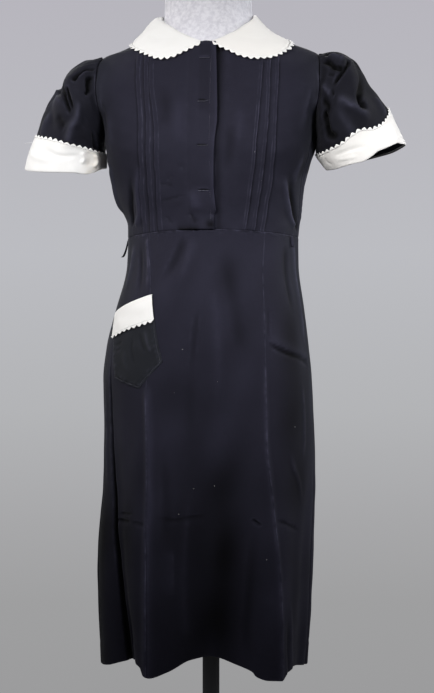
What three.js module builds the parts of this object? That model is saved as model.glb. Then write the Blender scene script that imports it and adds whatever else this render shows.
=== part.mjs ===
// A maid's work uniform dress, worn by a limbless dress form on a pole and a round base.
// Millimetres and degrees. +Z is up and the front faces -Y. The origin is the centre of the base's underside.
// Right and left are the wearer's own: the right side lies at -X. Angles run round the body from the centre
// front (0), positive towards the wearer's left: 90 is the left side, 180 the back, -90 the right side.

import * as THREE from "three";

// ---------------------------------------------------------------- driving dimensions

const CLOTH = 1.4; // wall of one layer of cotton
const SEAM_GAP = 0.3; // space between two pieces at a seam
const LAYER = CLOTH + SEAM_GAP; // rise of a piece that lies on another

const HEM_Z = 346; // the skirt's length is measured to here
const WAIST_SIDE_Z = 1027;
const WAIST_FRONT_RISE = 8;
const UNDERARM_Z = 1190;
const SHOULDER_TIP_Z = 1316;
const NECK_POINT_Z = 1366;
const NECK_FRONT_Z = 1325;
const NECK_BACK_Z = 1361;

const ARMHOLE_REACH = { front: 15, back: 31 }; // how far the armhole cuts in on each side, in degrees
const ARMHOLE_INSET = 0.6; // the sleeve's head starts this far inside the armhole
const OVERLAP = 19; // each front passes the centre front by this much
const LAP_RAMP = 6; // the upper front comes down to the body over this width
const TUCK_RISE = 2.4; // two more layers in each tuck
const TUCK_HALF = 6; // half the width of a tuck's ridge

const COLLAR_OUT = 2.3 + CLOTH; // the collar's upper face above the bodice's
const COLLAR_END = 3.5; // the collar's ends stop short of the centre front, in degrees
const COLLAR_PUFF = { right: 10, left: 1 }; // how far each half stands up over its shoulder
const COLLAR_PUFF_AT = { angle: 80, wide: 34 }; // where it stands up most, and how far round that reaches
const CUFF_OUT = LAYER;
const SLEEVE_HEAD = 0.12; // the part of the sleeve that eases from the armhole's shape to its own
const SLEEVE_END = 0.985; // the sleeve ends just inside the cuff's fold
const STEP_ANGLE = 0.2; // small steps that a surface's normal is measured over: degrees round the body,
const STEP_Z = 0.5; // heights,
const STEP_AROUND = 2; // degrees round a sleeve
const STEP_ALONG = 0.01; // and shares of its length

const BRAID_PITCH = 10; // one zigzag of the braid
const BRAID_TIP = 4.6; // reach of a point past the edge it is sewn to
const BRAID_ROOT = 1.7; // reach between two points
const BRAID_GAP = 0.6; // between the braid and the edge
const BRAID_WALL = 1;
const BRAID_LIFT = 0.9; // it lies this far above the middle of the edge it is sewn to
const BRAID_SAMPLES = 240; // places along an edge that its length is measured from

const POCKET_WIDTH = 85;
const POCKET_SIDE = 109; // depth at the pocket's sides
const POCKET_POINT = 30; // how much deeper the pointed foot is
const POCKET_BAND = 41;
const POCKET_TILT = 18; // the pocket leans, its foot towards the centre front
const POCKET_ANGLE = -52.6; // where the middle of its top edge lies
const POCKET_TOP_Z = 921;
const POCKET_OUT = 1.5 + CLOTH;
const BAND_OUT = POCKET_OUT + LAYER + 1; // the turned-down band stands a little off the patch

const FORM_FOOT_Z = 790;
const FORM_NECK_Z = 1450;
const FORM_ROUNDING = 5;
const WAIST_DEPTH = 90;
const POLE_RADIUS = 13.5;
const BASE_RADIUS = 190;
const BASE_THICKNESS = 12;
const HUB_RADIUS = 30;
const HUB_HEIGHT = 34;

// ---------------------------------------------------------------- materials

const paint = (color, roughness, metalness = 0) =>
  new THREE.MeshStandardMaterial({ color, roughness, metalness });
const blackCotton = paint(0x2b2a33, 0.85);
const whiteCotton = paint(0xf1f0ee, 0.8);
const greyJersey = paint(0xc9c7cf, 0.9);
const blackPaint = paint(0x121214, 0.4, 0.3);

// ---------------------------------------------------------------- tables

// The dress's outer face by height: how far it reaches from the stand's axis to each side, to the front and
// to the back. square is the section's roundness: 2 is an ellipse, more is boxy and less is pointed.
const SECTIONS = [
  { z: 330, right: 172, left: 151, front: 102, back: 110, square: 2.2 },
  { z: 394, right: 175, left: 156, front: 104, back: 112, square: 2.2 },
  { z: 480, right: 177, left: 160, front: 106, back: 114, square: 2.2 },
  { z: 560, right: 176, left: 163, front: 108, back: 115, square: 2.2 },
  { z: 630, right: 170, left: 165, front: 109, back: 116, square: 2.2 },
  { z: 706, right: 169, left: 165, front: 111, back: 117, square: 2.2 },
  { z: 800, right: 171, left: 160, front: 114, back: 120, square: 2.2 },
  { z: 850, right: 165, left: 155, front: 115, back: 121, square: 2.15 },
  { z: 914, right: 148, left: 148, front: 110, back: 112, square: 2.1 },
  { z: 984, right: 130, left: 138, front: 98, back: 86, square: 2.05 },
  { z: 1024, right: 130, left: 136, front: 93, back: 74, square: 2.05 },
  { z: 1045, right: 131, left: 138, front: 94, back: 75, square: 2.1 },
  { z: 1090, right: 149, left: 143, front: 106, back: 82, square: 2.2 },
  { z: 1125, right: 159, left: 149, front: 114, back: 92, square: 2.3 },
  { z: 1165, right: 167, left: 160, front: 119, back: 100, square: 2.5 },
  { z: 1200, right: 169, left: 166, front: 116, back: 104, square: 2.7 },
  { z: 1254, right: 179, left: 178, front: 105, back: 104, square: 2.5 },
  { z: 1295, right: 181, left: 179, front: 91, back: 97, square: 1.9 },
  { z: 1316, right: 174, left: 173, front: 82, back: 88, square: 1.65 },
  { z: 1324, right: 153, left: 159, front: 79, back: 84, square: 1.65 },
  { z: 1332, right: 134, left: 138, front: 75, back: 80, square: 1.65 },
  { z: 1350, right: 100, left: 98, front: 68, back: 73, square: 1.75 },
  { z: 1368, right: 84, left: 78, front: 63, back: 67, square: 1.95 },
  { z: 1384, right: 77, left: 69, front: 61, back: 64, square: 2 },
  { z: 1460, right: 76, left: 67, front: 58, back: 62, square: 2 },
];

// Two soft mounds at the bust.
const BUST = { angle: 36, z: 1158, rise: 9, wide: 24, tall: 52 };

// The skirt's hanging folds. A fold is a ridge (positive depth) or a trough (negative) that starts at the
// height from, and deepens to the hem; top and foot are its angles there, and wide its half width.
const FOLDS = [
  { top: -33, foot: -25, wide: 12, depth: 25, from: 860 },
  { top: 10, foot: 6, wide: 21, depth: -46, from: 900 },
  { top: 36, foot: 39, wide: 12, depth: 24, from: 800 },
  { top: -62, foot: -46, wide: 9, depth: -23, from: 820 },
  { top: 66, foot: 70, wide: 10, depth: -9, from: 760 },
  { top: 118, foot: 112, wide: 11, depth: -15, from: 800 },
  { top: 141, foot: 139, wide: 12, depth: 22, from: 860 },
  { top: 166, foot: 170, wide: 14, depth: -26, from: 840 },
  { top: -168, foot: -163, wide: 11, depth: 14, from: 780 },
  { top: -140, foot: -143, wide: 12, depth: -18, from: 850 },
  { top: -116, foot: -119, wide: 12, depth: 17, from: 800 },
];

// The hem's height round the skirt: it hangs low on the ridges and is drawn up in the troughs.
const HEM = [
  { angle: -90, z: 345 },
  { angle: -62, z: 352 },
  { angle: -47, z: 364 },
  { angle: -36, z: 363 },
  { angle: -30, z: 351 },
  { angle: -24, z: 345 },
  { angle: -18, z: 353 },
  { angle: -10, z: 368 },
  { angle: 0, z: 371 },
  { angle: 12, z: 368 },
  { angle: 22, z: 361 },
  { angle: 30, z: 349 },
  { angle: 37, z: 340 },
  { angle: 44, z: 349 },
  { angle: 54, z: 356 },
  { angle: 90, z: 350 },
  { angle: 115, z: 356 },
  { angle: 140, z: 345 },
  { angle: 168, z: 359 },
  { angle: 196, z: 348 },
  { angle: 217, z: 358 },
  { angle: 242, z: 346 },
  { angle: 270, z: 345 },
];

// The skirt's seams by height, in degrees.
const SEAMS = [
  { z: 346, rightFront: -25, leftFront: 40.5, rightBack: -131, leftBack: 138 },
  { z: 500, rightFront: -26, leftFront: 39.5, rightBack: -133, leftBack: 138 },
  { z: 600, rightFront: -28, leftFront: 36.5, rightBack: -135, leftBack: 138 },
  { z: 710, rightFront: -29.5, leftFront: 33.5, rightBack: -137, leftBack: 139 },
  { z: 850, rightFront: -31.5, leftFront: 35, rightBack: -140, leftBack: 140 },
  { z: 1035, rightFront: -45.5, leftFront: 40, rightBack: -142, leftBack: 142 },
];

// Each side's tucks: distance from the centre front near the top and at the waist.
const TUCKS = {
  right: [
    { top: 86, foot: 70 },
    { top: 95, foot: 84 },
    { top: 106, foot: 96 },
  ],
  left: [
    { top: 88, foot: 62 },
    { top: 100, foot: 76 },
    { top: 112, foot: 89 },
  ],
};

// The height of the collar's outer edge on each side and of the top of its roll, by angle from the front.
const COLLAR = [
  { angle: 3, right: 1325, left: 1326, top: 1328 },
  { angle: 12, right: 1311, left: 1312, top: 1336 },
  { angle: 18, right: 1303, left: 1303, top: 1341 },
  { angle: 24, right: 1302, left: 1300, top: 1345 },
  { angle: 32, right: 1309, left: 1301, top: 1351 },
  { angle: 40, right: 1317, left: 1307, top: 1357 },
  { angle: 50, right: 1322, left: 1318, top: 1363 },
  { angle: 64, right: 1329, left: 1328, top: 1371 },
  { angle: 90, right: 1338, left: 1339, top: 1382 },
  { angle: 120, right: 1326, left: 1326, top: 1381 },
  { angle: 150, right: 1314, left: 1314, top: 1378 },
  { angle: 180, right: 1309, left: 1309, top: 1375 },
];

// Each sleeve's sections, from the armhole (0) to the hem (1): the outer and inner silhouette points,
// the reach to the front and back, and how far the front hangs below the back.
const SLEEVES = {
  right: [
    { at: 0, outX: 174, outZ: 1316, inX: 167, inZ: 1190, front: 62, back: 64, dip: 0 },
    { at: 0.11, outX: 200, outZ: 1313, inX: 171, inZ: 1186, front: 74, back: 80, dip: 0 },
    { at: 0.23, outX: 224, outZ: 1300, inX: 172, inZ: 1181, front: 82, back: 88, dip: 0 },
    { at: 0.32, outX: 238, outZ: 1286, inX: 172, inZ: 1177, front: 84, back: 90, dip: 0 },
    { at: 0.42, outX: 248, outZ: 1264, inX: 172, inZ: 1173, front: 82, back: 88, dip: 0 },
    { at: 0.53, outX: 266, outZ: 1241, inX: 172, inZ: 1169, front: 78, back: 82, dip: 0 },
    { at: 0.66, outX: 276, outZ: 1213, inX: 171, inZ: 1165, front: 71, back: 75, dip: 1 },
    { at: 0.77, outX: 283, outZ: 1189, inX: 170, inZ: 1160, front: 66, back: 69, dip: 2 },
    { at: 0.88, outX: 293, outZ: 1166, inX: 170, inZ: 1151, front: 64, back: 67, dip: 6 },
    { at: 1, outX: 300, outZ: 1141, inX: 170, inZ: 1141, front: 63, back: 66, dip: 11 },
  ],
  left: [
    { at: 0, outX: 173, outZ: 1316, inX: 166, inZ: 1190, front: 62, back: 64, dip: 0 },
    { at: 0.08, outX: 188, outZ: 1320, inX: 170, inZ: 1187, front: 72, back: 76, dip: 0 },
    { at: 0.17, outX: 208, outZ: 1319, inX: 172, inZ: 1182, front: 80, back: 86, dip: 0 },
    { at: 0.27, outX: 228, outZ: 1311, inX: 173, inZ: 1178, front: 84, back: 90, dip: 0 },
    { at: 0.39, outX: 242, outZ: 1290, inX: 173, inZ: 1173, front: 84, back: 89, dip: 2 },
    { at: 0.5, outX: 253, outZ: 1268, inX: 172, inZ: 1169, front: 80, back: 84, dip: 6 },
    { at: 0.62, outX: 268, outZ: 1249, inX: 171, inZ: 1163, front: 75, back: 78, dip: 11 },
    { at: 0.75, outX: 282, outZ: 1229, inX: 170, inZ: 1157, front: 68, back: 70, dip: 17 },
    { at: 1, outX: 308, outZ: 1175, inX: 185, inZ: 1136, front: 63, back: 66, dip: 14 },
  ],
};
const CUFF_TOP = { right: 0.77, left: 0.75 };

// The sleeves' largest folds: ridges and troughs that run from one place along the sleeve to another, with
// their angles round it there. 0 is the outer side, 90 the front and -90 the back.
const SLEEVE_FOLDS = {
  right: [
    { top: 8, foot: 75, wide: 16, depth: -7, from: 0.25, to: 0.77 },
    { top: 45, foot: 62, wide: 14, depth: 5, from: 0.02, to: 0.6 },
    { top: -30, foot: -60, wide: 16, depth: -7, from: 0.1, to: 0.75 },
    { top: -75, foot: -95, wide: 14, depth: 5, from: 0.05, to: 0.7 },
  ],
  left: [
    { top: 12, foot: 34, wide: 16, depth: -7, from: 0.15, to: 0.7 },
    { top: 42, foot: 66, wide: 14, depth: 6, from: 0.1, to: 0.75 },
    { top: -28, foot: -48, wide: 16, depth: -7, from: 0.15, to: 0.75 },
    { top: -80, foot: -90, wide: 14, depth: 5, from: 0.1, to: 0.7 },
  ],
};

// The gap between the form and the cloth's inner face, by height.
const EASE = [
  { z: 780, gap: 20 },
  { z: 850, gap: 14 },
  { z: 914, gap: 9 },
  { z: 984, gap: 5 },
  { z: 1040, gap: 3.5 },
  { z: 1100, gap: 8 },
  { z: 1165, gap: 8 },
  { z: 1230, gap: 9 },
  { z: 1290, gap: 7 },
  { z: 1316, gap: 4.6 },
  { z: 1350, gap: 2.8 },
  { z: 1384, gap: 1.5 },
  { z: 1460, gap: 1.5 },
];

// How each piece is divided into rows and columns.
const SIDE_ROWS = 4;
const ARMHOLE_ROWS = 9;
const SHOULDER_ROWS = 3;
const SIDE_COLUMNS = 3;
const BACK_COLUMNS = 10;
const SLEEVE_COLUMNS = 20;
const SLEEVE_ROWS = 7;
const CUFF_ROWS = 2;
const CROWN_Z = 1290; // above this the front's columns keep their angles
const COLLAR_ROWS = [0, 0.36, 0.72, 1];
const SKIRT_ROWS = [0, 0.13, 0.27, 0.41, 0.55, 0.68, 0.8, 0.9, 1];
const LOOP_ROWS = 4;
const FORM_COLUMNS = 32;
const BASE_SEGMENTS = 48;
const POLE_SEGMENTS = 24;
const FORM_HEIGHTS = [
  795, 830, 870, 914, 950, 984, 1024, 1060, 1100, 1140, 1180, 1220, 1260, 1290, 1305, 1316, 1324, 1332, 1341,
  1350, 1360, 1372, 1384, 1420, 1445,
];

// ---------------------------------------------------------------- curves and surfaces

const radians = THREE.MathUtils.degToRad;
const mix = THREE.MathUtils.lerp;
const ease = THREE.MathUtils.smoothstep;
const bell = (offset, width) => Math.exp(-((offset / width) ** 2));

// A smooth curve through a table's rows, of column value over column key, that never passes beyond them.
function curve(rows, key, value, at) {
  const last = rows.length - 1;
  const x = THREE.MathUtils.clamp(at, rows[0][key], rows[last][key]);
  let i = 0;
  while (i < last - 1 && x > rows[i + 1][key]) i += 1;
  const slope = (k) => {
    if (k < 0 || k >= last) return 0;
    return (rows[k + 1][value] - rows[k][value]) / (rows[k + 1][key] - rows[k][key]);
  };
  const tangent = (k) => {
    const before = slope(k - 1);
    const after = slope(k);
    if (k === 0 || k === last) return before + after;
    return before * after > 0 ? (2 * before * after) / (before + after) : 0;
  };
  const span = rows[i + 1][key] - rows[i][key];
  const t = (x - rows[i][key]) / span;
  return (
    rows[i][value] * (1 + 2 * t) * (1 - t) ** 2 +
    rows[i + 1][value] * t * t * (3 - 2 * t) +
    span * tangent(i) * t * (1 - t) ** 2 -
    span * tangent(i + 1) * t * t * (1 - t)
  );
}

// The difference between two angles, the short way round.
const turn = (a, b) => ((((a - b + 180) % 360) + 360) % 360) - 180;

// A point on the dress's plain body, without the skirt's folds.
function bodyPoint(angle, z) {
  const s = Math.sin(radians(angle));
  const c = Math.cos(radians(angle));
  const square = curve(SECTIONS, "z", "square", z);
  const spread = (Math.abs(s) ** square + Math.abs(c) ** square) ** (-1 / square);
  const side = curve(SECTIONS, "z", s < 0 ? "right" : "left", z);
  const depth = curve(SECTIONS, "z", c > 0 ? "front" : "back", z);
  const x = side * spread * s;
  const y = -depth * spread * c;
  const mound = BUST.rise * bell(z - BUST.z, BUST.tall);
  const bust = mound * bell(Math.abs(turn(angle, 0)) - BUST.angle, BUST.wide);
  return new THREE.Vector3(x, y - bust, z);
}

// How far the skirt's folds move a point out from the body.
function foldAt(angle, z) {
  return FOLDS.reduce((sum, fold) => {
    const fall = THREE.MathUtils.clamp((fold.from - z) / (fold.from - HEM_Z), 0, 1.05);
    const middle = mix(fold.top, fold.foot, fall);
    return sum + fold.depth * fall ** 1.3 * bell(turn(angle, middle), fold.wide);
  }, 0);
}

function skirtPoint(angle, z) {
  const point = bodyPoint(angle, z);
  const away = new THREE.Vector3(point.x, point.y, 0).normalize();
  return point.addScaledVector(away, foldAt(angle, z));
}

// A surface's outward normal, from its own small steps. Surfaces take (u, v) with u x v pointing out.
function normalOf(surface, u, v, stepU, stepV) {
  const along = surface(u + stepU, v).sub(surface(u - stepU, v));
  const up = surface(u, v + stepV).sub(surface(u, v - stepV));
  return along.cross(up).normalize();
}

// A surface moved out by a distance that may depend on the place.
function lifted(surface, stepU, stepV) {
  return (u, v, out) => surface(u, v).addScaledVector(normalOf(surface, u, v, stepU, stepV), out);
}

const onBody = lifted(bodyPoint, STEP_ANGLE, STEP_Z);
const onSkirt = lifted(skirtPoint, STEP_ANGLE, STEP_Z);

// The angle at which the body reaches a distance x from the centre front, at a height.
function angleAt(x, z) {
  const side = curve(SECTIONS, "z", x < 0 ? "right" : "left", z);
  const square = curve(SECTIONS, "z", "square", z);
  let sine = x / side;
  for (let step = 0; step < 8; step += 1) {
    const cosine = Math.sqrt(Math.max(0, 1 - sine * sine));
    const spread = (Math.abs(sine) ** square + cosine ** square) ** (-1 / square);
    sine = THREE.MathUtils.clamp(x / (side * spread), -1, 1);
  }
  return THREE.MathUtils.radToDeg(Math.asin(sine));
}

// Half the seam gap as an angle.
function seamAngle(surface, angle, z) {
  const reach = surface(angle + 0.5, z).distanceTo(surface(angle - 0.5, z));
  return SEAM_GAP / 2 / reach;
}

// ---------------------------------------------------------------- walls

// A closed wall between two grids of points with the same rows and columns. Rows run up and columns run in
// the direction that makes the first grid the outer face. A round wall's last column joins its first.
function wall(name, outer, inner, material, round = false) {
  const rows = outer.length;
  const columns = outer[0].length;
  const points = [...outer.flat(), ...inner.flat()];
  const outerAt = (row, column) => row * columns + (column % columns);
  const innerAt = (row, column) => rows * columns + outerAt(row, column);
  const faces = [];
  const quad = (a, b, c, d) => {
    // The shorter diagonal parts the quad, so that a bent cell keeps its shape.
    if (points[a].distanceTo(points[c]) <= points[b].distanceTo(points[d])) faces.push(a, b, c, a, c, d);
    else faces.push(a, b, d, b, c, d);
  };
  const lastColumn = round ? columns : columns - 1;
  for (let column = 0; column < lastColumn; column += 1) {
    const next = column + 1;
    for (let row = 0; row < rows - 1; row += 1) {
      quad(outerAt(row, column), outerAt(row, next), outerAt(row + 1, next), outerAt(row + 1, column));
      quad(innerAt(row, column), innerAt(row + 1, column), innerAt(row + 1, next), innerAt(row, next));
    }
    quad(outerAt(0, column), innerAt(0, column), innerAt(0, next), outerAt(0, next));
    const top = rows - 1;
    quad(outerAt(top, column), outerAt(top, next), innerAt(top, next), innerAt(top, column));
  }
  if (!round) {
    const end = columns - 1;
    for (let row = 0; row < rows - 1; row += 1) {
      quad(outerAt(row, 0), outerAt(row + 1, 0), innerAt(row + 1, 0), innerAt(row, 0));
      quad(outerAt(row, end), innerAt(row, end), innerAt(row + 1, end), outerAt(row + 1, end));
    }
  }
  return solid(name, points, faces, material);
}

function solid(name, points, faces, material) {
  const geometry = new THREE.BufferGeometry().setFromPoints(points);
  geometry.setIndex(faces);
  geometry.computeVertexNormals();
  const mesh = new THREE.Mesh(geometry, material);
  mesh.name = name;
  return mesh;
}

const steps = (count) => Array.from({ length: count + 1 }, (_, i) => i / count);

// A wall on a lifted surface. cells holds rows of [u, v, out], where out is the outer face's height.
function sheet(name, surface, cells, material, round = false, thickness = CLOTH) {
  const outer = cells.map((row) => row.map(([u, v, out]) => surface(u, v, out)));
  const inner = cells.map((row) =>
    row.map(([u, v, out, base = out]) => surface(u, v, base - thickness)),
  );
  return wall(name, outer, inner, material, round);
}

// ---------------------------------------------------------------- bodice

const waistZ = (angle) =>
  WAIST_SIDE_Z + WAIST_FRONT_RISE * Math.max(0, Math.cos(radians(angle))) ** 2;

function necklineZ(angle) {
  const c = Math.cos(radians(angle));
  if (c > 0) return mix(NECK_POINT_Z, NECK_FRONT_Z, c ** 1.3);
  return mix(NECK_POINT_Z, NECK_BACK_Z, -c);
}

const ARMHOLE_MIDDLE = (SHOULDER_TIP_Z + UNDERARM_Z) / 2;
const ARMHOLE_HALF = (SHOULDER_TIP_Z - UNDERARM_Z) / 2;

// The heights of the bodice's rows along its side: side seam, armhole, shoulder seam.
const bodiceHeights = [
  ...steps(SIDE_ROWS).map((t) => mix(WAIST_SIDE_Z + SEAM_GAP / 2, UNDERARM_Z, t)),
  ...steps(ARMHOLE_ROWS)
    .slice(1)
    .map((t) => ARMHOLE_MIDDLE - ARMHOLE_HALF * Math.cos(Math.PI * t)),
  ...steps(SHOULDER_ROWS)
    .slice(1)
    .map((t) => mix(SHOULDER_TIP_Z, NECK_POINT_Z, t)),
];

// How far the armhole cuts into the front or the back, in degrees, at a height.
function armholeCut(face, z) {
  const offset = (z - ARMHOLE_MIDDLE) / ARMHOLE_HALF;
  return ARMHOLE_REACH[face] * Math.sqrt(Math.max(0, 1 - offset * offset));
}

// The collar's outer edge and the top of its roll at an angle, on either side.
const sideAt = (angle) => (turn(angle, 0) < 0 ? "right" : "left");
const collarEdgeZ = (angle) => curve(COLLAR, "angle", sideAt(angle), Math.abs(turn(angle, 0)));
const collarTopZ = (angle) => curve(COLLAR, "angle", "top", Math.abs(turn(angle, 0)));

// The height of the collar's upper face above the bodice, from its edge (share 0) to its roll (1).
function collarOut(angle, share) {
  const { angle: middle, wide } = COLLAR_PUFF_AT;
  const puff = COLLAR_PUFF[sideAt(angle)] * bell(Math.abs(turn(angle, 0)) - middle, wide);
  return COLLAR_OUT + puff * Math.sin(Math.PI * share) ** 0.6;
}

// A front's columns, by distance towards its own side: its edge past the centre front, then a ridge for each
// tuck. lap marks the ones that lie on the other front, and tuck the ridges.
function frontColumns(sideName) {
  const [first, second, third] = TUCKS[sideName];
  const halfway = (a, b) => ({ top: (a.top + b.top) / 2, foot: (a.foot + b.foot) / 2 });
  const shifted = (tuck, by) => ({ top: tuck.top + by, foot: tuck.foot + by });
  return [
    { top: -OVERLAP, foot: -OVERLAP, lap: true },
    { top: OVERLAP, foot: OVERLAP, lap: true },
    { top: OVERLAP + LAP_RAMP, foot: OVERLAP + LAP_RAMP },
    shifted(first, -TUCK_HALF),
    { ...first, tuck: true },
    halfway(first, second),
    { ...second, tuck: true },
    halfway(second, third),
    { ...third, tuck: true },
    shifted(third, TUCK_HALF),
  ];
}

// How much of a tuck's rise shows at a place: none under the collar.
const tuckShow = (angle, z) => 1 - ease(z, collarEdgeZ(angle) - 14, collarEdgeZ(angle) - 3);

function bodiceFront(sideName) {
  const side = sideName === "right" ? -1 : 1;
  const columns = frontColumns(sideName);
  const lastTuck = columns.length - 1;
  const total = lastTuck + SIDE_COLUMNS;
  const columnAngle = (index, z, sideZ) => {
    const column = columns[Math.min(index, lastTuck)];
    const height = column.lap ? z : Math.min(z, CROWN_Z);
    const rise = THREE.MathUtils.clamp((height - WAIST_SIDE_Z) / (CROWN_Z - WAIST_SIDE_Z), 0, 1);
    const own = side * angleAt(side * mix(column.foot, column.top, rise), height);
    if (index <= lastTuck) return own;
    const edge = 90 - armholeCut("front", sideZ) - seamAngle(bodyPoint, side * 90, sideZ);
    return mix(own, edge, (index - lastTuck) / SIDE_COLUMNS);
  };
  const cells = bodiceHeights.map((sideZ) => {
    const share = (sideZ - WAIST_SIDE_Z) / (NECK_POINT_Z - WAIST_SIDE_Z);
    const row = Array.from({ length: total + 1 }, (_, index) => {
      const foot = waistZ(columnAngle(index, WAIST_SIDE_Z, WAIST_SIDE_Z));
      const top = necklineZ(columnAngle(index, NECK_FRONT_Z, NECK_POINT_Z));
      const z = mix(foot, top, share);
      const angle = columnAngle(index, z, sideZ);
      const { lap, tuck } = columns[index] ?? {};
      const base = lap && sideName === "right" ? LAYER : 0;
      return [side * angle, z, base + (tuck ? TUCK_RISE * tuckShow(angle, z) : 0), base];
    });
    return side < 0 ? row.reverse() : row;
  });
  return sheet(`bodice_front_${sideName}`, onBody, cells, blackCotton);
}

function bodiceBack() {
  const cells = bodiceHeights.map((sideZ) => {
    const share = (sideZ - WAIST_SIDE_Z) / (NECK_POINT_Z - WAIST_SIDE_Z);
    const start = 90 + armholeCut("back", sideZ) + seamAngle(bodyPoint, 90, sideZ);
    return steps(BACK_COLUMNS).map((t) => {
      const plain = mix(90, 270, t);
      return [mix(start, 360 - start, t), mix(waistZ(plain), necklineZ(plain), share), 0];
    });
  });
  return sheet("bodice_back", onBody, cells, blackCotton);
}

// ---------------------------------------------------------------- collar

function collar() {
  const half = [COLLAR_END, 8, 14, 20, 27, 34, 41, 48, 57, 67, 78, 90, 105, 120, 135, 150, 165];
  const angles = [...half, 180, ...half.map((angle) => 360 - angle).reverse()];
  const cells = COLLAR_ROWS.map((share) =>
    angles.map((angle) => [
      angle,
      mix(collarEdgeZ(angle), collarTopZ(angle), share),
      collarOut(angle, share),
    ]),
  );
  return sheet("collar", onBody, cells, whiteCotton);
}

// ---------------------------------------------------------------- sleeves

// A point on a sleeve. u runs round it, from the shoulder (0) over the front on the left sleeve and over the
// back on the right one; t runs from the armhole (0) to the hem (1).
function sleevePoint(sideName, u, t) {
  const side = sideName === "right" ? -1 : 1;
  const around = radians(side * u);
  const c = Math.cos(around);
  const s = Math.sin(around);
  const at = (value) => curve(SLEEVES[sideName], "at", value, t);
  const middleX = (at("outX") + at("inX")) / 2;
  const middleZ = (at("outZ") + at("inZ")) / 2;
  const face = s > 0 ? "front" : "back";
  const section = new THREE.Vector3(
    side * (middleX + (at("outX") - middleX) * c),
    -at(face) * s,
    middleZ + (at("outZ") - middleZ) * c - at("dip") * s,
  );
  const away = new THREE.Vector3(section.x - side * middleX, section.y, section.z - middleZ);
  section.addScaledVector(away.normalize(), sleeveFold(sideName, side * u, t));
  const half = ARMHOLE_HALF - ARMHOLE_INSET;
  const cut = ARMHOLE_REACH[face] * (half / ARMHOLE_HALF) * s;
  const head = onBody(side * (90 - cut), ARMHOLE_MIDDLE + half * c, SEAM_GAP);
  return head.lerp(section, ease(t, 0, SLEEVE_HEAD));
}

// How far the sleeve's folds move a point out, by its angle round the sleeve and its place along it.
function sleeveFold(sideName, angle, t) {
  return SLEEVE_FOLDS[sideName].reduce((sum, fold) => {
    const share = THREE.MathUtils.clamp((t - fold.from) / (fold.to - fold.from), 0, 1);
    const middle = mix(fold.top, fold.foot, share);
    return sum + fold.depth * Math.sin(Math.PI * share) * bell(turn(angle, middle), fold.wide);
  }, 0);
}

const onSleeve = (sideName) =>
  lifted((u, t) => sleevePoint(sideName, u, t), STEP_AROUND, STEP_ALONG);

// Rings of places round a sleeve, at the given stops along it.
function tubeCells(stops, out) {
  const around = steps(SLEEVE_COLUMNS).slice(0, -1);
  return stops.map((t) => around.map((share) => [share * 360, t, out]));
}

const cuffStops = (sideName, end) => steps(CUFF_ROWS).map((share) => mix(CUFF_TOP[sideName], end, share));

function sleeve(sideName) {
  const above = steps(SLEEVE_ROWS).map((share) => share * CUFF_TOP[sideName]);
  const cells = tubeCells([...above, ...cuffStops(sideName, SLEEVE_END).slice(1)], 0);
  return sheet(`sleeve_${sideName}`, onSleeve(sideName), cells, blackCotton, true);
}

function cuff(sideName) {
  const cells = tubeCells(cuffStops(sideName, 1), CUFF_OUT);
  return sheet(`cuff_${sideName}`, onSleeve(sideName), cells, whiteCotton, true);
}

// ---------------------------------------------------------------- skirt

const hemZ = (angle) => curve(HEM, "angle", "z", turn(angle, 90) + 90);

// One gore of the skirt, between the seams at two angles that change with height.
function gore(name, start, end, columns) {
  const cells = SKIRT_ROWS.map((share) => {
    const height = mix(HEM_Z, WAIST_SIDE_Z, share);
    const from = start(height) + seamAngle(skirtPoint, start(height), height);
    const to = end(height) - seamAngle(skirtPoint, end(height), height);
    return steps(columns).map((t) => {
      const angle = mix(from, to, t);
      return [angle, mix(hemZ(angle), waistZ(angle) - SEAM_GAP / 2, share), 0];
    });
  });
  return sheet(name, onSkirt, cells, blackCotton);
}

const seam = (key) => (z) => curve(SEAMS, "z", key, z);

function skirt() {
  const rightBack = seam("rightBack");
  return [
    gore("skirt_front", seam("rightFront"), seam("leftFront"), 12),
    gore("skirt_side_front_right", () => -90, seam("rightFront"), 7),
    gore("skirt_side_front_left", seam("leftFront"), () => 90, 5),
    gore("skirt_side_back_right", rightBack, () => -90, 5),
    gore("skirt_side_back_left", () => 90, seam("leftBack"), 5),
    gore("skirt_back", seam("leftBack"), (z) => 360 + rightBack(z), 10),
  ];
}

// ---------------------------------------------------------------- pocket

// A place on the pocket: across towards the centre front from its middle, and down from its top edge.
function pocketPlace(across, down) {
  const tilt = radians(POCKET_TILT);
  const sideways = across * Math.cos(tilt) + down * Math.sin(tilt);
  const z = POCKET_TOP_Z - down * Math.cos(tilt) + across * Math.sin(tilt);
  const degree = bodyPoint(POCKET_ANGLE + 0.5, z).distanceTo(bodyPoint(POCKET_ANGLE - 0.5, z));
  return [POCKET_ANGLE + sideways / degree, z];
}

// The pocket's depth at a distance across: straight sides and a pointed foot.
const pocketDepth = (across) => POCKET_SIDE + POCKET_POINT * (1 - Math.abs(across) / (POCKET_WIDTH / 2));

function pocketSheet(name, depthAt, out, columns, rows, material) {
  const cells = steps(rows).map((share) =>
    steps(columns).map((t) => {
      const across = mix(-POCKET_WIDTH / 2, POCKET_WIDTH / 2, t);
      return [...pocketPlace(across, depthAt(across) * (1 - share)), out];
    }),
  );
  return sheet(name, onSkirt, cells, material);
}

function pocket() {
  return [
    pocketSheet("pocket_patch", pocketDepth, POCKET_OUT, 6, 4, blackCotton),
    pocketSheet("pocket_band", () => POCKET_BAND, BAND_OUT, 6, 2, whiteCotton),
  ];
}

// ---------------------------------------------------------------- zigzag braid

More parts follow.
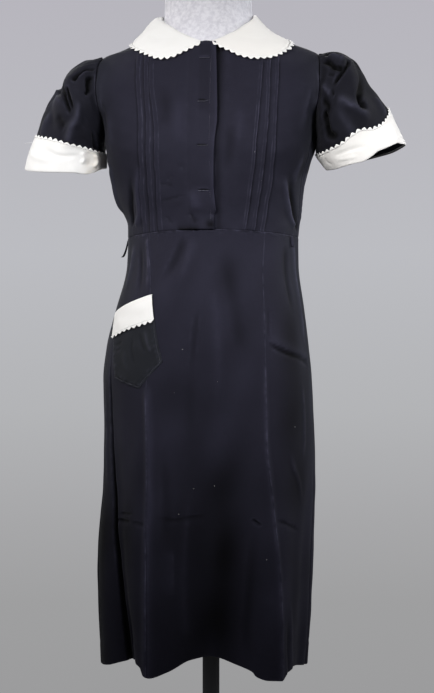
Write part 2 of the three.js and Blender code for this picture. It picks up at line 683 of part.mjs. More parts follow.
// The zigzag braid along an edge. place(t) gives the edge's surface place (u, v) for t from 0 to 1, with u
// growing; the points reach towards lower v. out is the outer face of the piece that carries the braid.
function braid(name, surface, place, out, round = false) {
  const middle = out - CLOTH / 2 + BRAID_LIFT;
  const samples = steps(BRAID_SAMPLES).map((t) => ({ t, point: surface(...place(t), middle) }));
  samples.forEach((sample, i) => {
    const before = samples[i - 1];
    sample.length = before ? before.length + before.point.distanceTo(sample.point) : 0;
  });
  const length = samples[BRAID_SAMPLES].length;
  const teeth = Math.round(length / BRAID_PITCH);
  const shares = steps(2 * teeth).map((share) => curve(samples, "length", "t", share * length));
  if (round) shares.pop();
  const rowsAt = (height) => {
    const tips = [];
    const edge = [];
    shares.forEach((t, i) => {
      const beyond = beyondEdge(surface, place, t);
      tips.push(surface(...beyond(i % 2 ? BRAID_TIP : BRAID_ROOT), middle + height));
      edge.push(surface(...beyond(BRAID_GAP), middle + height));
    });
    return [tips, edge];
  };
  return wall(name, rowsAt(BRAID_WALL / 2), rowsAt(-BRAID_WALL / 2), whiteCotton, round);
}

// For the place t along an edge, a function that gives the surface place some distance beyond it.
function beyondEdge(surface, place, t) {
  const nudge = 1 / BRAID_SAMPLES;
  const [u, v] = place(t);
  const near = THREE.MathUtils.clamp(t, nudge, 1 - nudge);
  const along = surface(...place(near + nudge), 0).sub(surface(...place(near - nudge), 0));
  const normal = surface(u, v, 1).sub(surface(u, v, 0));
  const away = along.cross(normal).normalize();
  const small = 0.01;
  const alongU = surface(u + small, v, 0).sub(surface(u, v, 0)).divideScalar(small);
  const alongV = surface(u, v + small, 0).sub(surface(u, v, 0)).divideScalar(small);
  const stepU = away.dot(alongU) / alongU.lengthSq();
  const stepV = away.dot(alongV) / alongV.lengthSq();
  return (reach) => [u + reach * stepU, v + reach * stepV];
}

function braids() {
  const collarPlace = (t) => {
    const angle = mix(COLLAR_END, 360 - COLLAR_END, t);
    return [angle, collarEdgeZ(angle)];
  };
  const cuffPlace = (sideName) => (t) => [t * 360, CUFF_TOP[sideName]];
  const bandPlace = (t) => pocketPlace(mix(-POCKET_WIDTH / 2, POCKET_WIDTH / 2, t), POCKET_BAND);
  return [
    braid("collar_edging", onBody, collarPlace, COLLAR_OUT),
    braid("cuff_edging_right", onSleeve("right"), cuffPlace("right"), CUFF_OUT, true),
    braid("cuff_edging_left", onSleeve("left"), cuffPlace("left"), CUFF_OUT, true),
    braid("pocket_edging", onSkirt, bandPlace, BAND_OUT),
  ];
}

// ---------------------------------------------------------------- belt loops

// A narrow loop end that hangs from the waist seam and stands away from the skirt towards its foot.
function beltLoop({ name, angle, top, length, wide, stand }) {
  const halfAngle = THREE.MathUtils.radToDeg(wide / 2 / WAIST_DEPTH);
  const cells = steps(LOOP_ROWS).map((share) => {
    const z = mix(top - length, top, share);
    const out = mix(stand, LAYER, Math.sqrt(share));
    return [
      [angle - halfAngle, z, out],
      [angle + halfAngle, z, out],
    ];
  });
  return sheet(name, onSkirt, cells, blackCotton);
}

// ---------------------------------------------------------------- dress form and stand

function dressForm() {
  const inside = (angle, z) => onBody(angle, z, -CLOTH - curve(EASE, "z", "gap", z));
  const rings = FORM_HEIGHTS.map((z) =>
    steps(FORM_COLUMNS)
      .slice(0, -1)
      .map((t) => inside(t * 360, z)),
  );
  // The foot and the neck's top are flat faces with a small bevelled edge.
  const bevelled = (ring, z) =>
    ring.map((p) => {
      const inwards = new THREE.Vector3(p.x, p.y, 0).setLength(FORM_ROUNDING);
      return p.clone().sub(inwards).setZ(z);
    });
  const foot = bevelled(rings[0], FORM_FOOT_Z);
  const top = bevelled(rings.at(-1), FORM_NECK_Z);
  const all = [foot, ...rings, top];
  const points = all.flat();
  const at = (row, column) => row * FORM_COLUMNS + (column % FORM_COLUMNS);
  const faces = [];
  for (let column = 0; column < FORM_COLUMNS; column += 1) {
    for (let row = 0; row < all.length - 1; row += 1) {
      faces.push(at(row, column), at(row, column + 1), at(row + 1, column + 1));
      faces.push(at(row, column), at(row + 1, column + 1), at(row + 1, column));
    }
  }
  const lastRow = all.length - 1;
  for (let column = 1; column < FORM_COLUMNS - 1; column += 1) {
    faces.push(at(0, 0), at(0, column + 1), at(0, column));
    faces.push(at(lastRow, 0), at(lastRow, column), at(lastRow, column + 1));
  }
  return solid("form_torso", points, faces, greyJersey);
}

// A turned piece, from a profile of [radius, height] that starts and ends on the axis.
function turned(name, profile, segments, material) {
  const points = profile.map(([radius, height]) => new THREE.Vector2(radius, height));
  const geometry = new THREE.LatheGeometry(points, segments).rotateX(Math.PI / 2);
  const mesh = new THREE.Mesh(geometry, material);
  mesh.name = name;
  return mesh;
}

function stand() {
  const poleFoot = HUB_HEIGHT + SEAM_GAP;
  const poleTop = FORM_FOOT_Z - SEAM_GAP;
  const edge = 3;
  return [
    turned(
      "stand_base",
      [
        [0, 0],
        [BASE_RADIUS - edge, 0],
        [BASE_RADIUS, edge],
        [BASE_RADIUS, BASE_THICKNESS - edge],
        [BASE_RADIUS - edge, BASE_THICKNESS],
        [HUB_RADIUS + edge, BASE_THICKNESS + edge],
        [HUB_RADIUS, BASE_THICKNESS + 2 * edge],
        [HUB_RADIUS - edge, HUB_HEIGHT],
        [0, HUB_HEIGHT],
      ],
      BASE_SEGMENTS,
      blackPaint,
    ),
    turned(
      "stand_pole",
      [
        [0, poleFoot],
        [POLE_RADIUS, poleFoot],
        [POLE_RADIUS, poleTop],
        [0, poleTop],
      ],
      POLE_SEGMENTS,
      blackPaint,
    ),
  ];
}

// ---------------------------------------------------------------- the whole

const uniform = new THREE.Group();
uniform.add(
  bodiceFront("right"),
  bodiceFront("left"),
  bodiceBack(),
  ...skirt(),
  sleeve("right"),
  sleeve("left"),
  cuff("right"),
  cuff("left"),
  collar(),
  ...pocket(),
  ...braids(),
  beltLoop({ name: "belt_loop_right", angle: -91, top: 1024, length: 27, wide: 6, stand: 11 }),
  beltLoop({ name: "belt_loop_left", angle: 68, top: 1026, length: 15, wide: 6, stand: 4 }),
  dressForm(),
  ...stand(),
);

export default uniform;
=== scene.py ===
import math
from functools import partial

import bpy
import numpy as np
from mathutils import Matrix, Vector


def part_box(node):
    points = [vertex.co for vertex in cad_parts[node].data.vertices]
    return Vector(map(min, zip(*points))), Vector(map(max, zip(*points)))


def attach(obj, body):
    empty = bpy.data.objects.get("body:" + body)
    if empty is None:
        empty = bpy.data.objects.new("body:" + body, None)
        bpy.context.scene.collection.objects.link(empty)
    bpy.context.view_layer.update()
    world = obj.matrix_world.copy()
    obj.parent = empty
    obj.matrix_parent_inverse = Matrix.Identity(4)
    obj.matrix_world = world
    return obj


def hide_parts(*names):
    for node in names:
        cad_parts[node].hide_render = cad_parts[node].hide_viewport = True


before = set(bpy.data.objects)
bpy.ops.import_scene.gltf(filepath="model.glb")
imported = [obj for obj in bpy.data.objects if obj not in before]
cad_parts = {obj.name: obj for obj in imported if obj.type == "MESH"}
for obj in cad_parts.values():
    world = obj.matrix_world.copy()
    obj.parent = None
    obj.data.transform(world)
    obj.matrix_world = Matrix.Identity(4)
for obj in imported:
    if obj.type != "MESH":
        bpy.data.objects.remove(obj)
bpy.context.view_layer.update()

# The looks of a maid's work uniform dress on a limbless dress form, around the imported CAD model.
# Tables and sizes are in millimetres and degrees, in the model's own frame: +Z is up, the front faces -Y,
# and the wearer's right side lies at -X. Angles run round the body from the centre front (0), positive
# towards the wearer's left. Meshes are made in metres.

# ---------------------------------------------------------------- driving dimensions

MM = 0.001
CAD_WALL = 1.4  # the CAD walls' thickness
CLOTH = 0.7  # thickness of one layer here
DOUBLE = 1.0  # thickness of the lined white pieces
LAYER = 1.7  # rise of a piece that lies on another
SEAM_GAP = 0.3  # between the edges of two pieces that meet
UNDER = 1.5  # how far one piece of cloth runs on under its neighbour at a seam
UNDER_SINK = 1.2  # how deep it lies there
SHADING_FULL = 4.5  # the crease height past which the painted light and shade grow no more
SHADING_DEEPEST = -1.7  # deep troughs are painted darker, as painted shade, by up to this many times as much
SIDE = {"right": -1, "left": 1}  # the wearer's sides, along X

HEM_Z = 346
HEM_DEEP = 34  # from the hem's edge to its stitches
WAIST_SIDE_Z = 1027
WAIST_FRONT_RISE = 8
UNDERARM_Z = 1190
SHOULDER_TIP_Z = 1316
NECK_POINT_Z = 1366
NECK_FRONT_Z = 1325
NECK_BACK_Z = 1361
NECK_STAND = 4  # the under front's neck edge stands this much higher at the centre
CROWN_Z = 1290  # above this the tucks keep their distances from the centre
ARMHOLE_MIDDLE = (SHOULDER_TIP_Z + UNDERARM_Z) / 2
ARMHOLE_HALF = (SHOULDER_TIP_Z - UNDERARM_Z) / 2
ARMHOLE_REACH = {"front": 15, "back": 31}  # how far each armhole is cut into its face, in degrees
ARMHOLE_OVER = 1.3  # how far a sleeve's head lies over the edge of the bodice
HEAD_RISE = 0.3  # and how high above it
SEAM_FORWARD = 28  # the cloth carries each front armhole seam this much further forwards
SEAM_REACH = 22  # how far from the seam that fades away
SEAM_FORWARD_Z = (1192, 1236)  # and the heights over which it begins

OVERLAP = 19  # the upper front's double width, each side of the centre
LAP_RAMP = 6  # over which it comes down to a single layer
LAP_FLAP_Z = 1056  # a small loose flap at the overlap's edge
DARTS = (158, 202)  # the back's darts, as angles
TUCK_WIDE = 4.5  # from a tuck's seam to its folded edge
TUCK_RISE = 1.6
BUTTONHOLES = [(1299, 0.7), (1229, 2.2), (1161, 0.5), (1094, 1.1)]  # heights, and how far each gapes
BUTTONHOLE_ENDS = (-10, 6.5)  # from the centre front

COLLAR_OUT = 3.7
COLLAR_END = 3.5  # the collar's ends stop this many degrees short of the centre front
COLLAR_PUFF = {"right": 10, "left": 1}  # how far it stands off the shoulders
COLLAR_PUFF_AT = (80, 34)  # the middle and the width of that, in degrees
CUFF_OUT = LAYER
SLEEVE_HEAD = 0.12  # the share of a sleeve's length over which the armhole's shape runs out
SLEEVE_END = 0.985  # a sleeve's own cloth ends here, just inside its cuff's lower edge
SLEEVE_RUN_ON = 0.04  # past its end, a sleeve goes on as over this last share
SLEEVE_LENGTH = 190  # what a sleeve's whole length measures, for its folds' widths
SLEEVE_DEGREE = 1.25  # what one degree round a sleeve measures, likewise

BRAID_PITCH = 10  # from point to point
BRAID_TIP = 4.8  # how far its points reach beyond the edge
BRAID_ROOT = 0.9  # how far it reaches between them
BRAID_GAP = 0.3
BRAID_LIFT = 0.9  # above the middle of the wall that it edges
BRAID_STEPS = 12  # points along each tooth
BRAID_SECTION = [(1, 0), (0.92, 0.5), (0.6, 0.85), (0.3, 1), (0, 0.9)]  # from its tip: share of reach, rise

POCKET_WIDTH = 85
POCKET_HALF = POCKET_WIDTH / 2
POCKET_SIDE = 109  # how far its sides run down
POCKET_POINT = 30  # how much further its pointed foot reaches
POCKET_BAND = 41  # how far its white band is turned down
POCKET_TILT = math.radians(18)
POCKET_ANGLE = -52.6  # where the middle of its top lies round the body
POCKET_TOP_Z = 921
POCKET_OUT = 2.9  # how far its outer face stands off the skirt
BAND_OUT = 5.6

LOOP_WIDE = 6
# a loose thread: its angle round the sleeve, how far below the cuff's upper edge it starts and how far it
# runs down, in shares of the sleeve's length, and how far it stands off
STRAY_THREAD = (-6, 0.03, 0.03, 10)

FORM_FOOT_Z = 790
FORM_NECK_Z = 1450
# how the form's two ends are rounded: shares of its width, and distances from the end
FOOT_ROUND = [(0.5, 0), (0.93, 0), (0.975, 1.5), (0.993, 4)]
NECK_ROUND = [(0.993, 2.6), (0.975, 1), (0.94, 0.2), (0.9, 0), (0.5, 0)]

# ---------------------------------------------------------------- tables of the model's surfaces

# height: reach to the right, left, front and back, and the section's squareness
RIGHT, LEFT, FRONT, BACK, SQUARE = range(1, 6)
SECTIONS = [
    (330, 174, 153, 102, 110, 2.2),
    (394, 177, 157, 104, 112, 2.2),
    (480, 180, 161, 106, 114, 2.2),
    (560, 177.5, 163, 108, 115, 2.2),
    (630, 170, 165, 109, 116, 2.2),
    (706, 169, 165, 111, 117, 2.2),
    (800, 171, 161, 114, 120, 2.2),
    (850, 166, 156.5, 115, 121, 2.15),
    (914, 151, 149, 110, 112, 2.1),
    (984, 134.5, 140, 98, 86, 2.05),
    (1024, 133, 139.5, 93, 74, 2.05),
    (1045, 133.5, 141.5, 94, 75, 2.1),
    (1090, 151.5, 146.5, 106, 82, 2.2),
    (1125, 160.5, 153, 114, 92, 2.3),
    (1165, 167, 163.5, 119, 100, 2.5),
    (1200, 169, 166, 116, 104, 2.7),
    (1254, 179, 178, 105, 104, 2.5),
    (1295, 181, 179, 91, 97, 1.9),
    (1316, 174, 173, 82, 88, 1.65),
    (1324, 153, 159, 79, 84, 1.65),
    (1332, 134, 138, 75, 80, 1.65),
    (1350, 100, 98, 68, 73, 1.75),
    (1368, 84, 78, 63, 67, 1.95),
    (1384, 77, 69, 61, 64, 2),
    (1460, 76, 67, 58, 62, 2),
]

# what swells forwards on both sides, the bust and the front of the shoulder: angle, height, rise, half
# width in degrees and half height
MOUNDS = [(36, 1158, 9, 24, 52), (66, 1258, 7, 15, 42)]
FRONT_SOFT = 60  # keeps the two sides' swells from meeting in a crease at the centre front

# the skirt's hanging folds: angle at the top and the hem, half width, depth, the height it starts from
FOLDS = [
    (-33, -25, 12, 25, 860),
    (10, 6, 21, -46, 900),
    (36, 39, 12, 24, 800),
    (-62, -46, 9, -23, 820),
    (66, 70, 10, -9, 760),
    (118, 112, 11, -15, 800),
    (141, 139, 12, 22, 860),
    (166, 170, 14, -26, 840),
    (-168, -163, 11, 14, 780),
    (-140, -143, 12, -18, 850),
    (-116, -119, 12, 17, 800),
]

# angle: the hem's height there
HEM = [
    (-90, 345), (-62, 352), (-47, 363), (-32.5, 362), (-29.4, 359), (-27.6, 349), (-24, 345), (-18, 353),
    (-10, 368), (0, 371), (12, 368), (22, 361), (28.2, 353), (29.6, 346), (34, 341), (39.5, 341),
    (44, 349), (54, 356), (90, 350), (115, 356), (140, 345), (168, 359), (196, 348), (217, 358),
    (242, 346), (270, 345),
]

# height: the angles of the skirt's seams
RIGHT_FRONT, LEFT_FRONT, RIGHT_BACK, LEFT_BACK = range(1, 5)
SEAMS = [
    (346, -25, 40.5, -131, 138),
    (500, -26, 39.5, -133, 138),
    (600, -28, 36.5, -135, 138),
    (710, -29.5, 33.5, -137, 139),
    (850, -31.5, 35, -140, 140),
    (1035, -45.5, 40, -142, 142),
]

# each side's tucks: height, and the distances of the three folded edges from the centre front
TUCK_KEYS = range(1, 4)
TUCKS = {
    "right": [
        (1035, 74, 87.5, 99.7), (1091, 75.4, 87.9, 101.3), (1120, 75.2, 88.6, 100.6),
        (1185, 75.9, 88.4, 101), (1246, 84, 93, 105.8), (1296, 89, 97.5, 110.6),
    ],
    "left": [
        (1034, 61, 74.8, 87.6), (1080, 68.2, 82, 96), (1124, 75.5, 89.3, 104.2),
        (1205, 82.8, 97.7, 109.9), (1292, 88, 99.5, 112.2),
    ],
}

# angle: the collar's outer edge on the right and the left, and the top of its roll
EDGE_RIGHT, EDGE_LEFT, ROLL = range(1, 4)
COLLAR = [
    (3, 1325, 1326, 1328),
    (12, 1311, 1312, 1336),
    (18, 1303, 1303, 1341),
    (24, 1302, 1300, 1345),
    (32, 1309, 1301, 1351),
    (40, 1317, 1307, 1357),
    (50, 1322, 1318, 1363),
    (64, 1329, 1328, 1371),
    (90, 1338, 1339, 1382),
    (120, 1326, 1326, 1381),
    (150, 1314, 1314, 1378),
    (180, 1309, 1309, 1375),
]

# place along a sleeve: outer x and z, inner x and z, reach to the front and back, dip of the front
OUT_X, OUT_Z, IN_X, IN_Z, SLEEVE_FRONT, SLEEVE_BACK, DIP = range(1, 8)
SLEEVES = {
    "right": [
        (0, 174, 1316, 167, 1190, 62, 64, 0),
        (0.11, 199, 1309, 171, 1186, 74, 80, 0),
        (0.23, 223, 1297, 172, 1181, 82, 88, 0),
        (0.32, 235, 1286, 172, 1177, 84, 90, 0),
        (0.42, 245, 1261, 172, 1173, 82, 88, 0),
        (0.53, 262, 1241, 172, 1169, 78, 82, 0),
        (0.66, 275, 1213, 171, 1165, 71, 75, 1),
        (0.77, 283, 1189, 170, 1160, 66, 69, 2),
        (0.88, 293, 1166, 170, 1151, 64, 67, 6),
        (1, 300, 1141, 170, 1141, 63, 66, 11),
    ],
    "left": [
        (0, 173, 1316, 166, 1190, 62, 64, 0),
        (0.08, 188, 1320, 168.5, 1187, 72, 76, 0),
        (0.17, 208, 1319, 168.5, 1182, 80, 86, 0),
        (0.27, 228, 1311, 168, 1178, 84, 90, 0),
        (0.39, 242, 1290, 167.5, 1173, 84, 89, 2),
        (0.5, 253, 1268, 167.5, 1169, 80, 84, 6),
        (0.62, 268, 1249, 167.5, 1163, 75, 78, 11),
        (0.75, 282, 1229, 169, 1157, 68, 70, 17),
        (1, 308, 1175, 185, 1136, 63, 66, 14),
    ],
}
CUFF_TOP = {"right": 0.77, "left": 0.75}
SLEEVE_SHADE = {"right": 2.6, "left": 3.9}  # the sleeves' cloth is painted a little darker all over, as painted shade
CUFF_CALM = 0.3  # what is left of a sleeve's relief where its cuff lies

# a sleeve's largest folds: angles at its two ends, half width, depth, and where along the sleeve it runs
SLEEVE_FOLDS = {
    "right": [
        (8, 75, 16, -7, 0.25, 0.77),
        (45, 62, 14, 5, 0.02, 0.6),
        (-30, -60, 16, -7, 0.1, 0.75),
        (-75, -95, 14, 5, 0.05, 0.7),
    ],
    "left": [
        (12, 34, 16, -7, 0.15, 0.7),
        (42, 66, 14, 6, 0.1, 0.75),
        (-28, -48, 16, -7, 0.15, 0.75),
        (-80, -90, 14, 5, 0.1, 0.7),
    ],
}

# height: the gap between the form and the CAD walls' inner face
EASE = [
    (780, 20), (850, 14), (914, 9), (984, 5), (1040, 3.5), (1100, 8), (1165, 8), (1230, 9), (1290, 7),
    (1316, 4.6), (1350, 2.8), (1384, 1.5), (1460, 1.5),
]

# ---------------------------------------------------------------- tables of the finer shape

# height: how far past the centre front the upper front's edge lies, for it is a little wavy
LAP_EDGE = [
    (1035, 13.4), (1056, 13.6), (1064, 16.8), (1078, 15.6), (1094, 14.2), (1138, 15), (1170, 17),
    (1202, 20.4), (1263, 18.6), (1325, 14.6),
]

# Folds and creases. Each is its height (negative is a trough), its width towards the wearer's left and
# right of a path that runs down the cloth, the shares of its path over which it fades in and out, and the
# path's points. A path that runs from the wearer's right to the left has its upper side first.
BODICE_FOLDS = [
    (-4.6, 3.2, 3.8, 0.4, 0.1, [(-43, 1140), (-49.5, 1090), (-57, 1066), (-66, 1042)]),
    (4, 4.5, 3.4, 0.3, 0.1, [(-37, 1140), (-43, 1092), (-49, 1062), (-58, 1042)]),
    (4.4, 6, 5, 0.3, 0.2, [(-66, 1150), (-70, 1110), (-78, 1060)]),
    (-4.6, 7, 5.5, 0.35, 0.1, [(53, 1130), (61, 1088), (70, 1058), (84, 1036)]),
    (4.4, 3.6, 5, 0.3, 0.1, [(50, 1122), (56, 1088), (63, 1058), (72, 1042)]),
    (-2.8, 1.5, 2, 0.15, 0.1, [(84, 1200), (73, 1172), (72, 1146), (73, 1114), (77, 1080), (82, 1045)]),
    (2.1, 3.5, 2.5, 0.2, 0.1, [(90, 1196), (79, 1170), (78, 1146), (79, 1114), (83, 1080), (88, 1045)]),
    (4.5, 24, 24, 0.25, 0.45, [(98, 1216), (98, 1185), (97, 1148)]),
    (3, 9, 8, 0.4, 0.4, [(-9, 1098), (-6.5, 1076), (-5, 1058)]),
    (-2.2, 3, 3, 0.3, 0.3, [(-11, 1060), (-8, 1050), (-5, 1044)]),
    (-1.4, 1.4, 3, 0.3, 0.3, [(-29, 1077), (-20, 1081), (-10.5, 1087)]),
    (-1.2, 1.4, 3, 0.3, 0.3, [(-27.5, 1102), (-22, 1102.5), (-17.5, 1101)]),
    (-1, 1.4, 2.5, 0.3, 0.3, [(-22, 1106), (-19.5, 1111), (-17.6, 1117)]),
    (-1, 2.5, 2.5, 0.4, 0.4, [(-12.2, 1136), (-12.6, 1122)]),
    (-1.4, 2, 3, 0.3, 0.3, [(-28.5, 1056), (-25.5, 1049), (-23, 1042)]),
    (-1.5, 8, 8, 0.4, 0.4, [(-21, 1260), (-19, 1220), (-22, 1180)]),
    (1.4, 7, 9, 0.4, 0.4, [(-12, 1250), (-13, 1200), (-11, 1150)]),
    (1.2, 6, 6, 0.4, 0.4, [(17, 1230), (19, 1190), (17, 1150)]),
    (-1.4, 7, 7, 0.4, 0.4, [(13, 1200), (14, 1160), (12, 1110)]),
    (2.4, 6, 6, 0.4, 0.3, [(64, 1160), (62, 1130), (60, 1100)]),
    (1.8, 7, 9, 0.4, 0.4, [(-56, 1230), (-57, 1190), (-58, 1150)]),
    (-1.8, 5, 6, 0.4, 0.4, [(-66, 1250), (-64, 1215), (-68, 1170)]),
    (1.7, 7, 7, 0.4, 0.4, [(60, 1270), (57, 1220), (58, 1180)]),
    (-3.3, 7, 7, 0.4, 0.1, [(115, 1130), (109, 1080), (104, 1040)]),
    (3, 6, 6, 0.4, 0.1, [(125, 1140), (121, 1080), (119, 1040)]),
    (-2.7, 7, 7, 0.4, 0.1, [(148, 1150), (152, 1090), (156, 1042)]),
    (2.5, 8, 6, 0.4, 0.1, [(166, 1160), (170, 1100), (172, 1042)]),
    (-2.2, 6, 6, 0.4, 0.1, [(187, 1140), (184, 1090), (183, 1042)]),
    (2.5, 8, 6, 0.4, 0.1, [(201, 1150), (199, 1090), (196, 1042)]),
    (-3, 6, 8, 0.4, 0.1, [(220, 1140), (217, 1085), (212, 1042)]),
    (2.7, 6, 6, 0.4, 0.1, [(238, 1120), (241, 1080), (240, 1042)]),
    (-3.3, 6, 6, 0.4, 0.1, [(250, 1150), (254, 1090), (258, 1042)]),
    (-2.1, 6, 3, 0.3, 0.3, [(150, 1215), (180, 1206), (208, 1216)]),
    (1.8, 7, 5, 0.3, 0.3, [(140, 1232), (175, 1226), (214, 1236)]),
    (-1.8, 5, 3, 0.3, 0.3, [(226, 1175), (205, 1168), (188, 1172)]),
]

SKIRT_FOLDS = [
    (2.4, 4.5, 3.6, 0.1, 0.3, [(-45, 1024), (-42, 980), (-39.3, 935)]),
    (4.6, 5.5, 4.6, 0.1, 0, [
        (-30.6, 800), (-29.9, 741), (-28.6, 649), (-27.1, 557), (-26.2, 465), (-25.3, 330)]),
    (-11.2, 3.4, 2.4, 0.4, 0, [
        (-65, 870), (-62, 808), (-63.5, 706), (-61.5, 628), (-58.2, 581), (-55.6, 530), (-53.1, 467),
        (-51.3, 409), (-49.6, 335)]),
    (2.4, 5, 5, 0.4, 0.3, [(-71, 800), (-70, 750), (-71, 690), (-68, 620)]),
    (2.8, 3.6, 4.5, 0.2, 0, [
        (35.2, 860), (33.8, 772), (33.5, 711), (35.2, 649), (36.4, 598), (39.2, 512), (40, 434),
        (39.7, 330)]),
    (-3.4, 7, 5, 0.3, 0.4, [(-14, 1026), (-20.6, 991), (-29, 952)]),
    (2.2, 7, 7, 0.3, 0.4, [(-8, 1026), (-12, 985), (-19, 940)]),
    (-2.2, 10, 9, 0.3, 0.3, [(11, 1012), (16.7, 941), (19.6, 881), (20.7, 840)]),
    (-2.4, 22, 20, 0.35, 0.2, [(17, 760), (15.5, 620), (13.5, 520), (13, 440), (12.5, 360)]),
    (-1.2, 8, 8, 0.4, 0.4, [(-6, 830), (-8, 760), (-8, 680)]),
    (1.8, 8, 10, 0.3, 0.3, [(4, 960), (7, 900), (8, 830), (6, 740)]),
    (-1.8, 3.5, 3.5, 0.3, 0.4, [(-4.1, 916), (-5.6, 864), (-7.2, 800)]),
    (2, 2, 8, 0.2, 0.2, [(-16.4, 545), (-16.3, 505), (-16.4, 466)]),
    (2.2, 11, 3, 0.12, 0.1, [(36.2, 865.5), (50, 850.5), (64, 841), (78, 832)]),
    (-3.4, 2.6, 4, 0.15, 0.2, [(38, 859), (50, 845), (64, 836), (76, 827)]),
    (-1.4, 2.5, 2.5, 0.3, 0.3, [(39.3, 918), (38.6, 890), (37.4, 864)]),
    (-4, 1.6, 3.4, 0.3, 0.3, [(-59, 582.7), (-48, 583.5), (-38, 584)]),
    (-3, 1.6, 3, 0.3, 0.3, [(-55, 593), (-46, 594.6), (-37, 595)]),
    (-2.6, 1.6, 3, 0.3, 0.3, [(-38, 584), (-33, 582), (-27.5, 579.6)]),
    (-3.4, 1.6, 2.5, 0.3, 0.3, [(26.4, 590), (28.5, 585), (31, 578)]),
    (-2.8, 1.6, 4, 0.3, 0.3, [(37, 588), (48, 579), (61, 568)]),
    (-1.8, 2, 5, 0.3, 0.3, [(-25, 592), (-16, 588), (-8, 592), (2, 594)]),
    (3.6, 5.5, 5, 0.1, 0.3, [(70, 1022), (71.5, 960), (72, 900), (73, 850)]),
    (-3.1, 6, 6, 0.2, 0.3, [(60, 1015), (60, 960), (62, 900)]),
    (2.4, 5, 3, 0.3, 0.3, [(49, 690), (52, 665), (56.6, 645), (62, 605)]),
    (2.7, 3.5, 3.5, 0.3, 0.3, [(63, 805), (64, 740), (62, 670)]),
    (-2, 5, 4, 0.3, 0.3, [(28, 580), (26, 500), (25, 420), (27, 370)]),
    (1.8, 5, 5, 0.3, 0, [(48, 470), (50, 400), (52, 335)]),
    (-2.2, 3, 4, 0.3, 0, [(45.5, 440), (46, 380), (46.5, 335)]),
    (1.8, 5, 5, 0.3, 0.1, [(-8, 640), (-11, 560), (-12, 470), (-11, 400)]),
    (-1.7, 6, 4, 0.3, 0.3, [(-22, 700), (-20, 620), (-19, 540)]),
    (-2.2, 4, 4, 0.3, 0.4, [(-36, 905), (-35.5, 850), (-36, 800)]),
    (3.1, 6, 6, 0.3, 0.3, [(-60, 1020), (-63, 980), (-66, 940)]),
    (-2.8, 5, 5, 0.3, 0.3, [(-52, 1020), (-50, 975), (-45, 930)]),
    (2.8, 6, 6, 0.3, 0, [(-86, 1000), (-88, 800), (-87, 600), (-88, 335)]),
    (-2.8, 6, 7, 0.3, 0.2, [(-97, 1010), (-99, 900), (-98, 780)]),
    (-3.4, 6, 6, 0.3, 0, [(-104, 700), (-105, 520), (-106, 335)]),
    (3.1, 6, 6, 0.2, 0, [(-131, 600), (-130.5, 460), (-131, 335)]),
    (-2.8, 7, 7, 0.2, 0.3, [(-122, 1015), (-120, 930), (-122, 840)]),
    (3.1, 7, 7, 0.2, 0.3, [(-150, 1015), (-153, 930), (-152, 830)]),
    (-3.1, 7, 7, 0.2, 0.3, [(174, 1015), (176, 930), (178, 820)]),
    (3.4, 6, 6, 0.3, 0, [(-176, 700), (-178, 540), (-177, 335)]),
    (-3.4, 6, 6, 0.3, 0, [(152, 660), (155, 500), (154, 335)]),
    (3.1, 7, 7, 0.2, 0.3, [(128, 1015), (131, 930), (129, 830)]),
    (3.1, 6, 6, 0.3, 0, [(99, 760), (97, 560), (98, 335)]),
    (-3.4, 6, 6, 0.3, 0.3, [(106, 1010), (108, 900), (107, 790)]),
    (-3.1, 5, 5, 0.3, 0, [(84, 700), (83, 520), (82, 335)]),
    (-2.1, 1.3, 4, 0.3, 0.3, [(100, 590), (112, 584), (126, 588)]),
    (-2, 1.3, 4, 0.3, 0.3, [(146, 578), (158, 584), (170, 581)]),
    (-2.1, 1.3, 4, 0.3, 0.3, [(-168, 588), (-152, 583), (-136, 589)]),
    (2.8, 9, 1.4, 0.15, 0.2, [(150, 860), (165, 851), (182, 846)]),
    (2.5, 9, 1.4, 0.15, 0.2, [(-112, 846), (-126, 852), (-140, 862)]),
]

# broad painted shade and painted light low on the skirt: strength, angle, width, and the heights where each
# starts and is full
SKIRT_SHADES = [
    (2, 42, 9, 620, 500),
    (3, -27.5, 2, 800, 560),
    (-3.2, 13, 12, 740, 520),
    (-3, -8, 14, 700, 540),
    (-4, 54, 13, 960, 880),
    (2.4, 54, 13, 640, 540),
    (-7, -78, 20, 720, 560),
    (-2.4, -44, 9, 640, 540),
    (-1.4, -6, 18, 820, 760),
]

# small puckers along the waist seam: angle and height
PUCKERS = [
    (-72, 0.6), (-63, 0.8), (-54, 0.5), (-49.1, 1), (-41.6, 1.5), (-34.2, 1.4), (-27, 0.5), (-20, 0.6),
    (-13.6, 1.1), (-8, 1), (-4.5, 0.9), (1.6, 1.1), (9, 0.5), (17, 0.6), (26.3, 1.2), (32.8, 0.9),
    (39.3, 1), (47, 0.6), (58, 0.8), (70, 0.9), (81, 0.6), (97, 0.7), (106, 0.9), (117, 0.6), (131, 0.8),
    (140, 0.6), (153, 0.9), (161, 0.5), (174, 0.8), (187, 0.7), (196, 0.9), (209, 0.6), (221, 0.9),
    (233, 0.6), (247, 0.8), (259, 0.7),
]

